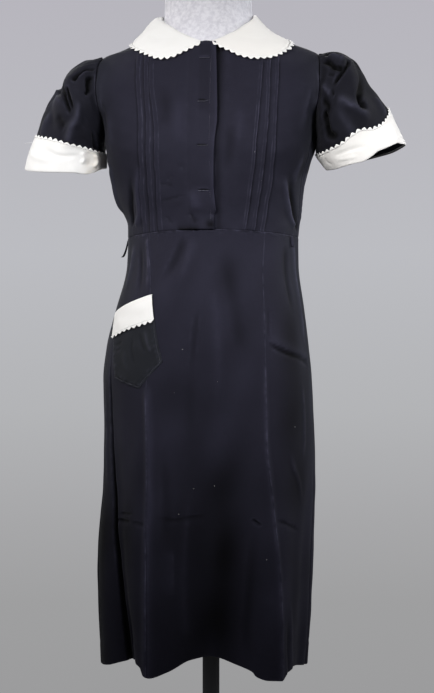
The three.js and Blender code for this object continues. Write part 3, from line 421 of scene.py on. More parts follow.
# the sleeves' folds and creases: places are the angle round the sleeve, from the shoulder (0) to its
# front (90), and the millimetres from the armhole
SLEEVE_CREASES = {
    "right": [
        (-9.5, 4, 4.5, 0.2, 0.25, [(44, 15), (50, 24), (55, 34), (59, 46)]),
        (4.1, 3, 3, 0.2, 0.3, [(50, 17), (56, 27), (60, 36)]),
        (-8.1, 3.5, 3, 0.2, 0.25, [(60, 14), (70, 18), (84, 20), (88, 30)]),
        (-4.1, 2, 2.5, 0.3, 0.3, [(44, 12), (54, 13)]),
        (6.8, 1.5, 20, 0.1, 0.3, [(-34, 75), (0, 76), (19, 79), (45, 82), (70, 86)]),
        (-10.8, 4.5, 3, 0.2, 0.3, [(36, 66), (50, 72), (71, 77), (88, 86)]),
        (4.1, 2.2, 2.2, 0.25, 0.3, [(62, 71), (72, 74), (85, 77)]),
        (-8.1, 3.5, 3.5, 0.25, 0.3, [(58, 60), (66, 65), (77, 69), (89, 76)]),
        (6.8, 10, 8, 0.3, 0.2, [(93, 40), (99, 80), (97, 128), (95, 160)]),
        (-3.4, 9, 9, 0.3, 0.3, [(66, 100), (78, 112), (88, 116)]),
        (-4, 5, 6, 0.3, 0.1, [(134, 55), (142, 90), (146, 140)]),
        (-4.1, 7, 7, 0.3, 0.3, [(30, 50), (22, 80), (20, 115)]),
        (4.1, 8, 7, 0.3, 0.3, [(48, 100), (44, 125), (46, 150)]),
        (-4.7, 4, 4, 0.2, 0.3, [(-14, 12), (-24, 40), (-30, 70)]),
        (4.3, 5, 5, 0.2, 0.3, [(6, 12), (2, 40), (-4, 70)]),
    ],
    "left": [
        (-10.8, 4, 3, 0.2, 0.2, [(42, 14), (52, 22), (59, 34), (58, 49)]),
        (6.1, 7, 7, 0.2, 0.2, [(34, 20), (42, 30), (44, 44)]),
        (-4.7, 4, 4, 0.2, 0.3, [(20, 14), (30, 22), (36, 36)]),
        (-8.1, 3, 3, 0.1, 0.2, [(38, 49), (48, 51), (57, 50), (71, 46), (85, 42)]),
        (-2.7, 2, 3, 0.3, 0.3, [(70, 22), (71, 30), (70, 38)]),
        (-3.4, 2.5, 2.5, 0.3, 0.3, [(88, 40), (92, 48), (93, 56)]),
        (-10.8, 6, 5, 0.35, 0.15, [(12, 74), (34, 88), (56, 99), (60, 109), (50, 114)]),
        (6.8, 7, 7, 0.2, 0.25, [(94, 60), (80, 88), (68, 106), (54, 136)]),
        (4.1, 9, 8, 0.3, 0.2, [(98, 66), (92, 100), (88, 130), (84, 160)]),
        (-9.5, 6, 6, 0.2, 0.2, [(120, 34), (122, 60), (122, 100), (108, 128)]),
        (-4.1, 6, 6, 0.3, 0.3, [(106, 20), (108, 40), (112, 70)]),
        (4.1, 6, 6, 0.3, 0.3, [(82, 14), (92, 30), (96, 50)]),
        (-4.1, 5, 5, 0.3, 0.3, [(4, 20), (6, 50), (2, 80)]),
        (4.1, 7, 6, 0.3, 0.3, [(20, 110), (24, 130), (28, 150)]),
        (-4.1, 4, 4, 0.2, 0.3, [(-16, 12), (-24, 40), (-30, 66)]),
    ],
}

# the creases on the back of each sleeve
SLEEVE_BACK_CREASES = [
    (-5.4, 6, 6, 0.2, 0.3, [(-40, 14), (-52, 50), (-56, 90)]),
    (5.4, 7, 7, 0.2, 0.3, [(-66, 16), (-74, 60), (-78, 110)]),
    (-5.4, 6, 6, 0.2, 0.3, [(-92, 18), (-98, 60), (-96, 100)]),
    (4.1, 7, 7, 0.3, 0.3, [(-118, 30), (-116, 80), (-112, 120)]),
]
BACK_CREASES_TURNED = {"right": 0, "left": 2}  # how many degrees each sleeve's are turned

# the gathers at a sleeve's head: angle and height
GATHERS = [
    (-88, 1.2), (-76, 1.8), (-63, 1.3), (-52, 2), (-41, 1.4), (-30, 1.9), (-19, 1.3), (-8, 2), (3, 1.8),
    (13, 2), (25, 1.5), (36, 1.3), (54, 1),
]

# the cuffs' wrinkles, placed as the sleeves' are
CUFF_CREASES = {
    "right": [
        (-1.6, 3, 5, 0.3, 0.3, [(60, 158), (90, 166), (120, 160)]),
        (1.2, 4, 4, 0.3, 0.3, [(20, 165), (50, 172), (80, 176)]),
        (2.6, 3, 3, 0.2, 0.2, [(118, 154), (124, 166), (121, 178)]),
        (-2.6, 3, 4, 0.2, 0.2, [(128, 150), (136, 166), (131, 182)]),
        (3.8, 3, 3.4, 0.2, 0.2, [(142, 150), (147, 168), (141, 186)]),
        (-2.6, 3, 3, 0.2, 0.2, [(154, 150), (160, 168), (156, 186)]),
    ],
    "left": [
        (-1.6, 3, 5, 0.3, 0.3, [(128, 158), (110, 160), (92, 164), (78, 170)]),
        (1.2, 4, 5, 0.3, 0.3, [(130, 168), (110, 174), (95, 178)]),
        (-1.2, 3, 3, 0.3, 0.3, [(140, 152), (144, 166), (138, 178)]),
        (1, 5, 5, 0.3, 0.3, [(30, 155), (26, 170), (34, 186)]),
    ],
}

# the wrinkles on the back of each cuff
CUFF_BACK_CREASES = [
    (1, 6, 6, 0.3, 0.3, [(-60, 155), (-90, 165), (-120, 170)]),
    (-1.2, 5, 5, 0.3, 0.3, [(-30, 170), (-60, 176), (-90, 172)]),
]

# how much lower the cuff's upper edge lies here and there: angle, and share of the sleeve's length
CUFF_WAVE = {
    "right": [(-180, 0), (180, 0)],
    "left": [
        (-180, 0), (0, 0), (18, 0.026), (30, 0.04), (45, 0.055), (60, 0.046), (68, 0.02), (78, -0.018),
        (90, -0.02), (105, 0), (140, -0.006), (180, 0),
    ],
}

# how far the cuff's lower edge hangs past the sleeve's own length, in shares of it: angle and share
CUFF_EDGE = {
    "right": [
        (-180, 0.01), (-100, 0), (-40, -0.01), (0, 0), (60, 0.008), (90, 0.012), (112, 0.022),
        (130, 0.046), (142, 0.04), (152, 0.02), (164, 0.004), (180, 0.01),
    ],
    "left": [
        (-180, 0.01), (-120, 0.05), (-90, 0.068), (-60, 0.062), (-30, 0.036), (0, 0.008), (18, -0.012),
        (34, -0.036), (52, -0.038), (68, -0.04), (80, -0.02), (95, 0.002), (110, -0.008), (124, -0.006),
        (140, 0.004), (160, 0.008), (180, 0.01),
    ],
}

# the collar's folds, by angle and height
COLLAR_FOLDS = [
    (-0.8, 2.5, 7, 0.3, 0.3, [(-58, 1346), (-40, 1336), (-22, 1333)]),
    (0.7, 8, 5, 0.3, 0.3, [(-50, 1338), (-34, 1326), (-22, 1320)]),
    (-0.8, 2.5, 6, 0.3, 0.3, [(24, 1326), (40, 1332), (56, 1338)]),
    (0.7, 6, 4, 0.3, 0.3, [(24, 1334), (40, 1341), (58, 1348)]),
    (-0.8, 5, 5, 0.3, 0.3, [(100, 1365), (130, 1352), (160, 1350)]),
    (0.8, 6, 6, 0.3, 0.3, [(200, 1345), (230, 1352), (258, 1362)]),
]

# the pocket's wrinkles, by the distances across from its middle and up from its top
POCKET_FOLDS = [
    (-1.2, 1.4, 3, 0.2, 0.3, [(-34, -56), (-24, -58), (-14, -56)]),
    (-1, 1.4, 3, 0.3, 0.3, [(-34, -66), (-26, -67), (-18, -65)]),
    (1.5, 3, 3, 0.3, 0.2, [(27, -50), (28, -70), (31, -92)]),
    (-1.1, 2.5, 2.5, 0.3, 0.3, [(18, -52), (20, -72), (24, -88)]),
    (1.2, 3.5, 3.5, 0.3, 0.2, [(-36, -62), (-37, -80), (-34, -100)]),
    (-0.9, 2.5, 2.5, 0.3, 0.3, [(6, -56), (2, -80), (4, -104)]),
    (0.9, 4, 4, 0.3, 0.3, [(-12, -70), (-14, -92), (-8, -112)]),
]

# specks of lint: angle, height and size
SKIRT_LINT = [
    (-11.9, 849, 1.1), (-15.9, 783, 0.9), (52.9, 729, 1.2), (7.1, 800, 0.8), (-14.3, 596, 1.5),
    (32.9, 527, 1.3), (-40.5, 471, 0.9), (-7, 635, 1), (5.4, 639, 1), (112, 700, 1.2), (-160, 620, 1.3),
    (150, 820, 1),
]
BODICE_LINT = [(33.7, 1109, 1), (27.2, 1150, 0.8)]

# ---------------------------------------------------------------- numbers and curves

PATH_STEPS = 7  # steps along a fold's path for each of its points
RIPPLE_WAVES = 24


def mix(a, b, share):
    """What lies a share of the way from a to b."""
    return a + (b - a) * share


def ease(value, low, high):
    """A smooth step from 0 at low to 1 at high."""
    t = np.clip((np.asarray(value, float) - low) / (high - low), 0, 1)
    return t * t * (3 - 2 * t)


def bell(offset, width):
    """A smooth bump of height 1 round an offset of 0."""
    return np.exp(-((offset / width) ** 2))


def between(value, start, full, ending, end):
    """A smooth rise from 0 at start to 1 at full, and back to 0 between ending and end."""
    return ease(value, start, full) * (1 - ease(value, ending, end))


def turn(a, b=0.0):
    """The difference between two angles, the short way round."""
    return (np.asarray(a, float) - b + 180) % 360 - 180


def curve(rows, at, value=1):
    """A smooth curve through a table's rows, of a column over the first one, that never passes them."""
    table = np.array(rows, float)
    keys, values = table[:, 0], table[:, value]
    x = np.clip(at, keys[0], keys[-1])
    i = np.clip(np.searchsorted(keys, x, side="left") - 1, 0, len(keys) - 2)
    slope = np.diff(values) / np.diff(keys)
    before, after = slope[:-1], slope[1:]
    turning = before * after <= 0
    middle = np.where(turning, 0, 2 * before * after / np.where(turning, 1, before + after))
    tangent = np.concatenate([slope[:1], middle, slope[-1:]])
    span = keys[i + 1] - keys[i]
    t = (x - keys[i]) / span
    return (
        values[i] * (1 + 2 * t) * (1 - t) ** 2
        + values[i + 1] * t * t * (3 - 2 * t)
        + span * tangent[i] * t * (1 - t) ** 2
        - span * tangent[i + 1] * t * t * (1 - t)
    )


def stations(low, high, count, focus=()):
    """Places from low to high, closer together round each focus: its place, its reach and its weight."""
    fine = np.linspace(low, high, 6001)
    density = np.ones_like(fine)
    for place, reach, weight in focus:
        density += weight * bell(fine - place, reach)
    total = np.concatenate([[0], np.cumsum((density[1:] + density[:-1]) / 2)])
    return np.interp(np.linspace(0, total[-1], count), total, fine)


def ripple(across, up, wave, seed):
    """A soft uneven ripple between about -1 and 1, whose waves measure about wave."""
    chance = np.random.default_rng(seed)
    total = np.zeros(np.broadcast(across, up).shape)
    for _ in range(RIPPLE_WAVES):
        heading = chance.uniform(0, math.pi)
        rate = 2 * math.pi / (wave * chance.uniform(0.55, 2.2))
        phase = chance.uniform(0, 2 * math.pi)
        total += np.sin(rate * (across * math.cos(heading) + up * math.sin(heading)) + phase)
    return total / math.sqrt(RIPPLE_WAVES)


def fold_heights(folds, across, up, degree):
    """The height that a table of folds gives at places across and up; one unit across measures degree."""
    total = np.zeros(across.shape)
    for height, left, right, fade_in, fade_out, path in folds:
        points = np.array(path, float)
        order = np.arange(len(points))
        fine = np.linspace(0, order[-1], PATH_STEPS * order[-1] + 1)
        path_across = curve(np.stack([order, points[:, 0]], 1), fine)
        path_up = curve(np.stack([order, points[:, 1]], 1), fine)
        reach = 3 * max(left, right)
        offset = turn(across, path_across[0]) + path_across[0]
        near = (
            (offset > path_across.min() - reach / degree.min())
            & (offset < path_across.max() + reach / degree.min())
            & (up > path_up.min() - reach)
            & (up < path_up.max() + reach)
        )
        if near.any():
            line = np.stack([path_across, path_up], 1)
            here = np.stack([offset[near], up[near]], 1)
            apart, share = line_distance(here, line, degree[near])
            width = np.where(apart > 0, left, right)
            shown = ease(share, 0, fade_in) if fade_in else 1
            shown = shown * (1 - ease(share, 1 - fade_out, 1) if fade_out else 1)
            total[near] += height * shown * bell(apart, width)
    return total


def line_distance(here, line, degree):
    """How far each place lies from a line, positive on its left going along it, and the share it is at."""
    scale = np.stack([degree, np.ones_like(degree)], 1)
    closest = np.full(len(here), 1e9)
    apart = np.zeros(len(here))
    share = np.zeros(len(here))
    for i in range(len(line) - 1):
        start = (here - line[i]) * scale
        along = (line[i + 1] - line[i]) * scale
        length = np.maximum((along**2).sum(1), 1e-9)
        t = np.clip((start * along).sum(1) / length, 0, 1)
        gap = start - along * t[:, None]
        distance = np.hypot(gap[:, 0], gap[:, 1])
        side = along[:, 0] * start[:, 1] - along[:, 1] * start[:, 0]
        nearer = distance < closest
        closest = np.where(nearer, distance, closest)
        apart = np.where(nearer, distance * np.where(side >= 0, 1, -1), apart)
        share = np.where(nearer, (i + t) / (len(line) - 1), share)
    return apart, share


# ---------------------------------------------------------------- the model's surfaces


def body_point(angle, z):
    """A point on the dress's plain body."""
    angle, z = np.broadcast_arrays(np.asarray(angle, float), np.asarray(z, float))
    s, c = np.sin(np.radians(angle)), np.cos(np.radians(angle))
    square = curve(SECTIONS, z, SQUARE)
    spread = (np.abs(s) ** square + np.abs(c) ** square) ** (-1 / square)
    side = np.where(s < 0, curve(SECTIONS, z, RIGHT), curve(SECTIONS, z, LEFT))
    depth = np.where(c > 0, curve(SECTIONS, z, FRONT), curve(SECTIONS, z, BACK))
    from_front = np.sqrt(turn(angle) ** 2 + FRONT_SOFT)
    swell = 0
    for at, at_z, rise, wide, tall in MOUNDS:
        swell = swell + rise * bell(z - at_z, tall) * bell(from_front - at, wide)
    return np.stack([side * spread * s, -depth * spread * c - swell, z], -1)


def skirt_point(angle, z):
    """A point on the skirt, with its hanging folds."""
    point = body_point(angle, z)
    angle = np.broadcast_to(angle, point.shape[:-1])
    z = point[..., 2]
    out = np.zeros(z.shape)
    for top, foot, wide, depth, start in FOLDS:
        fall = np.clip((start - z) / (start - HEM_Z), 0, 1.05)
        out += depth * fall**1.3 * bell(turn(angle, mix(top, foot, fall)), wide)
    flat = point * [1, 1, 0]
    return point + flat / np.linalg.norm(flat, axis=-1, keepdims=True) * out[..., None]


def sleeve_section(side_name, u, t):
    """A point on a sleeve away from its head, for a place t from 0 to 1 along it."""
    side = SIDE[side_name]
    rows = SLEEVES[side_name]
    c, s = np.cos(np.radians(side * u)), np.sin(np.radians(side * u))
    out_x, out_z = curve(rows, t, OUT_X), curve(rows, t, OUT_Z)
    middle_x = (out_x + curve(rows, t, IN_X)) / 2
    middle_z = (out_z + curve(rows, t, IN_Z)) / 2
    reach = np.where(s > 0, curve(rows, t, SLEEVE_FRONT), curve(rows, t, SLEEVE_BACK))
    section = np.stack(
        [
            side * (middle_x + (out_x - middle_x) * c),
            -reach * s,
            middle_z + (out_z - middle_z) * c - curve(rows, t, DIP) * s,
        ],
        -1,
    )
    away = section - np.stack([side * middle_x, 0 * t, middle_z], -1)
    away /= np.linalg.norm(away, axis=-1, keepdims=True)
    out = np.zeros(t.shape)
    for top, foot, wide, depth, start, end in SLEEVE_FOLDS[side_name]:
        share = np.clip((t - start) / (end - start), 0, 1)
        out += depth * np.sin(np.pi * share) * bell(turn(side * u, mix(top, foot, share)), wide)
    return section + away * out[..., None]


def sleeve_point(side_name, u, t):
    """A point on a sleeve: u runs round it from the shoulder, and t from the armhole (0) to the hem (1)."""
    side = SIDE[side_name]
    u, t = np.broadcast_arrays(np.asarray(u, float), np.asarray(t, float))
    c, s = np.cos(np.radians(side * u)), np.sin(np.radians(side * u))
    inside = np.minimum(t, 1)
    section = sleeve_section(side_name, u, inside)
    if (t > 1).any():
        last, before = (sleeve_section(side_name, u, 0 * t + at) for at in (1, 1 - SLEEVE_RUN_ON))
        section = section + ((t - inside) / SLEEVE_RUN_ON)[..., None] * (last - before)
    over = 1 + ARMHOLE_OVER / ARMHOLE_HALF
    reach = np.where(s > 0, ARMHOLE_REACH["front"], ARMHOLE_REACH["back"])
    head_z = ARMHOLE_MIDDLE + (ARMHOLE_HALF - 0.2) * c
    head = on_body(side * (90 - reach * over * s), head_z, HEAD_RISE)
    return carried_forward(mix(head, section, ease(t, 0, SLEEVE_HEAD)[..., None]))


def carried_forward(point):
    """A point near an armhole's front edge, moved forwards so that the front runs on into the sleeve."""
    x, y, z = point[..., 0], point[..., 1], point[..., 2]
    cut = armhole_cut("front", z)
    edge = body_point(np.where(x < 0, -1, 1) * (90 - cut), z)
    apart = np.hypot(x - edge[..., 0], y - edge[..., 1])
    forward = SEAM_FORWARD * cut / ARMHOLE_REACH["front"] * ease(z, *SEAM_FORWARD_Z)
    forward = forward * bell(apart, SEAM_REACH)
    return point + np.stack([0 * z, -forward, 0 * z], -1)


def front_point(angle, z):
    """A point on the bodice's front."""
    return carried_forward(body_point(angle, z))


def lifted(surface, step_u, step_v):
    """A surface moved out along its normal by a distance that may depend on the place."""

    def at(u, v, out):
        along = surface(u + step_u, v) - surface(u - step_u, v)
        up = surface(u, v + step_v) - surface(u, v - step_v)
        normal = np.cross(along, up)
        normal /= np.linalg.norm(normal, axis=-1, keepdims=True)
        return surface(u, v) + normal * np.asarray(out, float)[..., None]

    return at


on_body = lifted(body_point, 0.2, 0.5)
on_front = lifted(front_point, 0.2, 0.5)
on_skirt = lifted(skirt_point, 0.2, 0.5)


def on_sleeve(side_name):
    return lifted(partial(sleeve_point, side_name), 2, 0.01)


def degree_length(z):
    """What one degree round the body measures at a height, on average."""
    reach = sum(curve(SECTIONS, z, key) for key in (RIGHT, LEFT, FRONT, BACK)) / 4
    return np.radians(reach)


def angle_at(x, z):
    """The angle at which the body reaches a distance x from the centre front."""
    side = np.where(x < 0, curve(SECTIONS, z, RIGHT), curve(SECTIONS, z, LEFT))
    square = curve(SECTIONS, z, SQUARE)
    sine = x / side
    for _ in range(8):
        cosine = np.sqrt(np.maximum(0, 1 - sine**2))
        spread = (np.abs(sine) ** square + cosine**square) ** (-1 / square)
        sine = np.clip(x / (side * spread), -1, 1)
    return np.degrees(np.arcsin(sine))


def seam_angle(surface, angle, z, length=SEAM_GAP / 2):
    """A length across a seam, half its gap unless told otherwise, as an angle."""
    step = surface(angle + 0.5, z) - surface(angle - 0.5, z)
    return length / np.linalg.norm(step, axis=-1)


def tucked_under(beyond):
    """How deep cloth sinks where it runs beyond a seam line and under its neighbour."""
    return -UNDER_SINK * ease(beyond, -0.3, 0.4)


def waist_z(angle):
    """The height of the waist seam, which rises towards the centre front."""
    return WAIST_SIDE_Z + WAIST_FRONT_RISE * np.maximum(0, np.cos(np.radians(angle))) ** 2


def neckline_z(angle):
    """The height of the neckline, which dips in front and a little at the back."""
    c = np.cos(np.radians(angle))
    front = mix(NECK_POINT_Z, NECK_FRONT_Z, np.maximum(c, 0) ** 1.3)
    return np.where(c > 0, front, mix(NECK_POINT_Z, NECK_BACK_Z, -c))


def armhole_cut(face, z):
    """How far the armhole is cut into the front or the back at a height, in degrees."""
    offset = (z - ARMHOLE_MIDDLE) / ARMHOLE_HALF
    return ARMHOLE_REACH[face] * np.sqrt(np.maximum(0, 1 - offset**2))


def hem_z(angle):
    """The height of the skirt's uneven lower edge."""
    return curve(HEM, turn(angle, 90) + 90)


def collar_edge_z(angle):
    """The height of the collar's outer edge."""
    away = np.abs(turn(angle))
    return np.where(turn(angle) < 0, curve(COLLAR, away, EDGE_RIGHT), curve(COLLAR, away, EDGE_LEFT))


def collar_top_z(angle):
    """The height of the collar's roll."""
    return curve(COLLAR, np.abs(turn(angle)), ROLL)


def collar_out(angle, share):
    """How far the collar stands off the body, from its edge (share 0) to its roll (1)."""
    middle, wide = COLLAR_PUFF_AT
    puff = np.where(turn(angle) < 0, COLLAR_PUFF["right"], COLLAR_PUFF["left"])
    puff = puff * bell(np.abs(turn(angle)) - middle, wide)
    return COLLAR_OUT + puff * np.sin(np.pi * np.clip(share, 0, 1)) ** 0.6


# ---------------------------------------------------------------- meshes


def mesh_object(name, points, faces, material, uv=None, marks=None):
    """A smooth-shaded mesh from points in millimetres, with a UV map in metres and its points' marks."""
    mesh = bpy.data.meshes.new(name)
    mesh.from_pydata((np.asarray(points) * MM).tolist(), [], [list(face) for face in faces])
    mesh.polygons.foreach_set("use_smooth", np.ones(len(mesh.polygons), bool))
    if uv is not None:
        corners = np.zeros(len(mesh.loops), np.int32)
        mesh.loops.foreach_get("vertex_index", corners)
        layer = mesh.uv_layers.new(name="weave")
        layer.data.foreach_set("uv", (uv[corners] * MM).astype(np.float32).ravel())
    for key, values in (marks or {}).items():
        attribute = mesh.attributes.new(key, "FLOAT", "POINT")
        attribute.data.foreach_set("value", np.asarray(values, np.float32).ravel())
    mesh.update()
    piece = bpy.data.objects.new(name, mesh)
    bpy.context.scene.collection.objects.link(piece)
    mesh.materials.append(material)
    return piece


def numbered(rows, columns, closed=True):
    """The numbers of a grid's points; a closed one has its first column again at its end."""
    grid = np.arange(rows * columns).reshape(rows, columns)
    return np.concatenate([grid, grid[:, :1]], 1) if closed else grid


def grid_faces(grid, flipped=False):
    """The four-sided faces between a grid's points, as the points' numbers."""
    faces = np.stack([grid[:-1, :-1], grid[:-1, 1:], grid[1:, 1:], grid[1:, :-1]], -1).reshape(-1, 4)
    return faces[:, [0, 3, 2, 1]] if flipped else faces


def wall_faces(rows, columns, closed):
    """The faces of a closed wall between two grids of points, the outer one first."""
    outer = numbered(rows, columns, closed)
    inner = outer + rows * columns
    rims = [(outer[0], inner[0], True), (outer[-1], inner[-1], False)]
    if not closed:
        rims += [(outer[:, 0], inner[:, 0], False), (outer[:, -1], inner[:, -1], True)]
    faces = [grid_faces(outer), grid_faces(inner, True)]
    faces += [grid_faces(np.stack(pair), flipped) for *pair, flipped in rims]
    return np.concatenate(faces)


def lengths_along(points, axis=0):
    """The length along a line of points up to each of them, for every line of a grid."""
    steps = np.linalg.norm(np.diff(points, axis=axis), axis=-1)
    return np.concatenate([0 * np.take(steps, [0], axis), np.cumsum(steps, axis)], axis)


def grid_lengths(points):
    """Lengths across and up a grid of points, measured from its middle column and its lowest row."""
    across = lengths_along(points, 1)
    across -= across[:, [points.shape[1] // 2]]
    return np.stack([across, lengths_along(points, 0)], -1)


def bending(points, closed):
    """How sharply a grid's surface bends outwards at each point, one over millimetres."""
    along = np.gradient(points, axis=1)
    up = np.gradient(points, axis=0)
    normal = np.cross(along, up)
    normal /= np.maximum(np.linalg.norm(normal, axis=-1, keepdims=True), 1e-9)
    total = np.zeros(points.shape[:2])
    for axis in (0, 1):
        before = np.roll(points, 1, axis) - points
        after = np.roll(points, -1, axis) - points
        length = (before**2).sum(-1) + (after**2).sum(-1)
        bend = -2 * ((before + after) * normal).sum(-1) / np.maximum(length, 1e-9)
        if axis == 0:
            bend[[0, -1]] = 0
        elif not closed:
            bend[:, [0, -1]] = 0
        total += bend
    return total


def both_faces(outer, inner):
    """The values for a wall's points: those of its outer face, then those of its inner one."""
    return np.concatenate([outer.reshape(-1, *outer.shape[2:]), inner.reshape(-1, *inner.shape[2:])])


def plain_marks(count, tint=0.0):
    """The marks of points that are neither worn nor painted with light or shade."""
    return {"worn": np.zeros(count), "tint": np.full(count, tint), "painted_shading_and_wear": np.zeros(count)}


def keep(piece, slot, *nodes):
    """A finished piece rides on the body and stands for its CAD nodes; its slot is not used."""
    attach(piece, "root")
    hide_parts(*nodes)
    return piece


def cloth(node, surface, u, v, out, slot, closed=False, thickness=CLOTH, tint=0.0, painted_shading_and_wear=0.0):
    """A CAD node's thin shell on a surface, from grids of places and its outer face's height at each.

    tint is the share of the material's second colour, which in places paints a reflection. The last
    argument is a height that paints light and shade into the colour: paler on ridges and raised edges
    (painted highlight, partly wear) and darker in troughs and beside raised edges (painted shade).
    """
    u, v, out = np.broadcast_arrays(u, v, out)
    outer = surface(u, v, out)
    inner = surface(u, v, out - thickness)
    lengths = grid_lengths(outer)
    worn = np.clip(bending(outer, closed) * 1.6, 0, 1)
    tint = np.broadcast_to(tint, out.shape)
    painted_shading_and_wear = np.clip(np.broadcast_to(painted_shading_and_wear, out.shape) / SHADING_FULL, SHADING_DEEPEST, 1)
    marks = {
        "worn": both_faces(worn, 0 * worn),
        "tint": both_faces(tint, tint),
        "painted_shading_and_wear": both_faces(painted_shading_and_wear, 0 * painted_shading_and_wear),
    }
    piece = mesh_object(
        node + "_cloth", both_faces(outer, inner), wall_faces(*out.shape, closed), COTTONS[slot],
        both_faces(lengths, lengths), marks,
    )
    return keep(piece, slot, node)


# ---------------------------------------------------------------- materials


def node_tree(owner):
    """The empty node tree of a new material or world."""
    owner.use_nodes = True
    owner.node_tree.nodes.clear()
    return owner.node_tree


def add_node(tree, kind, settings=None, **inputs):
    """A shader node with its settings, and inputs that are values or other nodes' outputs.

    An input is given by its name, or by i and its number.
    """
    node = tree.nodes.new(kind)
    for key, value in (settings or {}).items():
        setattr(node, key, value)
    for key, value in inputs.items():
        socket = node.inputs[int(key[1:])] if key[0] == "i" and key[1:].isdigit() else node.inputs[key]
        if isinstance(value, bpy.types.NodeSocket):
            tree.links.new(value, socket)
        else:
            socket.default_value = value
    return node


def math_node(tree, operation, *values, clamp=False):
    inputs = {f"i{i}": value for i, value in enumerate(values)}
    settings = {"operation": operation, "use_clamp": clamp}
    return add_node(tree, "ShaderNodeMath", settings, **inputs).outputs[0]


def mix_colours(tree, share, a, b):
    return add_node(tree, "ShaderNodeMix", {"data_type": "RGBA"}, i0=share, i6=a, i7=b).outputs[2]


def noise(tree, place, scale, detail=3.0, roughness=0.55):
    inputs = {"Vector": place, "Scale": scale, "Detail": detail, "Roughness": roughness}
    return add_node(tree, "ShaderNodeTexNoise", None, **inputs).outputs["Fac"]


def bands(tree, place, direction, scale, distortion, detail):
    settings = {"wave_type": "BANDS", "bands_direction": direction}
    inputs = {"Vector": place, "Scale": scale, "Distortion": distortion, "Detail": detail}
    return add_node(tree, "ShaderNodeTexWave", settings, **inputs).outputs["Fac"]


def stretched(tree, place, scale):
    return add_node(tree, "ShaderNodeMapping", None, Vector=place, Scale=scale).outputs[0]


def object_place(tree):
    return add_node(tree, "ShaderNodeTexCoord").outputs["Object"]


def mark(tree, name):
    """One of the marks that a mesh carries for its points."""
    return add_node(tree, "ShaderNodeAttribute", {"attribute_name": name}).outputs["Fac"]


def weave_height(tree, place, thread):
    """The over and under of a plain weave whose threads lie thread metres apart."""
    waves = [bands(tree, place, direction, 1 / (20 * thread) * math.pi, 1.2, 1.0) for direction in "XY"]
    return math_node(tree, "MULTIPLY", *waves)


def finish_tree(tree, shader, kind="ShaderNodeOutputMaterial"):
    output = tree.nodes.new(kind)
    tree.links.new(shader.outputs[0], output.inputs["Surface"])


def finish_surface(tree, base, roughness, height, strength, distance, **more):
    """Ends a material with its colour, its roughness and the bumps of a height."""
    bump = add_node(tree, "ShaderNodeBump", None, Height=height, Strength=strength, Distance=distance)
    inputs = {"Base Color": base, "Roughness": roughness, "Normal": bump.outputs[0], **more}
    finish_tree(tree, add_node(tree, "ShaderNodeBsdfPrincipled", None, **inputs))


def cotton(name, dark, light, tinted, thread, sheen, worn_share, mottle, shading_and_wear_strength):
    """Plain-weave cotton: slubby threads, softly uneven dye, paler where its edges are worn, and lighter or
    darker by a mark of painted light and shade.
    """
    material = bpy.data.materials.new(name)
    tree = node_tree(material)
    uv = add_node(tree, "ShaderNodeUVMap", {"uv_map": "weave"}).outputs[0]
    place = object_place(tree)
    blotch = noise(tree, place, 9.0, 4.0)
    warp = noise(tree, stretched(tree, uv, (900, 60, 1)), 1.0, 2.0)
    weft = noise(tree, stretched(tree, uv, (60, 900, 1)), 1.0, 2.0)
    slub = math_node(tree, "ADD", warp, weft)
    uneven = math_node(tree, "MULTIPLY_ADD", slub, 0.5, -0.5)
    share = math_node(tree, "MULTIPLY_ADD", blotch, mottle, 0.5 - mottle / 2)
    share = math_node(tree, "ADD", share, uneven, clamp=True)
    base = mix_colours(tree, share, dark, light)
    base = mix_colours(tree, mark(tree, "tint"), base, tinted)
    patchy = math_node(tree, "MULTIPLY_ADD", noise(tree, place, 70.0, 3.0), 3.0, -1.1, clamp=True)
    worn = math_node(tree, "MULTIPLY", mark(tree, "worn"), patchy)
    worn = math_node(tree, "MULTIPLY", worn, worn_share)
    rubbed = tuple(min(1, 4 * c + 0.02) for c in light[:3]) + (1,)
    base = mix_colours(tree, worn, base, rubbed)
    # the colour is scaled by the painted light and shade: paler on ridges and raised edges, darker in
    # troughs and painted shadows
    strength = math_node(tree, "MULTIPLY_ADD", mark(tree, "painted_shading_and_wear"), shading_and_wear_strength, 1.0)
    base = add_node(tree, "ShaderNodeVectorMath", {"operation": "SCALE"}, i0=base, Scale=strength)
    rough = math_node(tree, "MULTIPLY", slub, 0.8)
    height = math_node(tree, "ADD", weave_height(tree, uv, thread), rough)
    more = {"Sheen Weight": sheen, "Sheen Roughness": 0.45, "Specular IOR Level": 0.12}
    finish_surface(tree, base.outputs[0], 0.88, height, 0.35, 0.00025, **more)
    return material


def jersey(name):
    """The form's knitted cover: pale grey, mottled with darker flecks."""
    material = bpy.data.materials.new(name)
    tree = node_tree(material)
    place = object_place(tree)
    flecks = math_node(tree, "MULTIPLY_ADD", noise(tree, place, 160.0, 3.0, 0.6), 4.0, -1.5, clamp=True)
    clouds = noise(tree, place, 30.0, 4.0)
    base = mix_colours(tree, flecks, (0.59, 0.58, 0.63, 1), (0.77, 0.76, 0.80, 1))
    base = mix_colours(tree, math_node(tree, "MULTIPLY", clouds, 0.5), base, (0.71, 0.70, 0.76, 1))
    height = math_node(tree, "ADD", bands(tree, place, "Z", 260.0, 2.0, 2.0), flecks)
    finish_surface(tree, base, 0.92, height, 0.4, 0.0005, **{"Sheen Weight": 0.2})
    return material


def painted_metal(name):
    """Black satin paint with fine orange peel and light scuffs."""
    material = bpy.data.materials.new(name)
    tree = node_tree(material)
    place = object_place(tree)
    scuffs = noise(tree, stretched(tree, place, (40, 40, 12)), 1.0, 5.0, 0.7)
    base = mix_colours(tree, scuffs, (0.008, 0.008, 0.009, 1), (0.018, 0.018, 0.02, 1))
    roughness = math_node(tree, "MULTIPLY_ADD", scuffs, 0.25, 0.28)
    finish_surface(tree, base, roughness, noise(tree, place, 900.0, 2.0), 0.15, 0.0004)
    return material
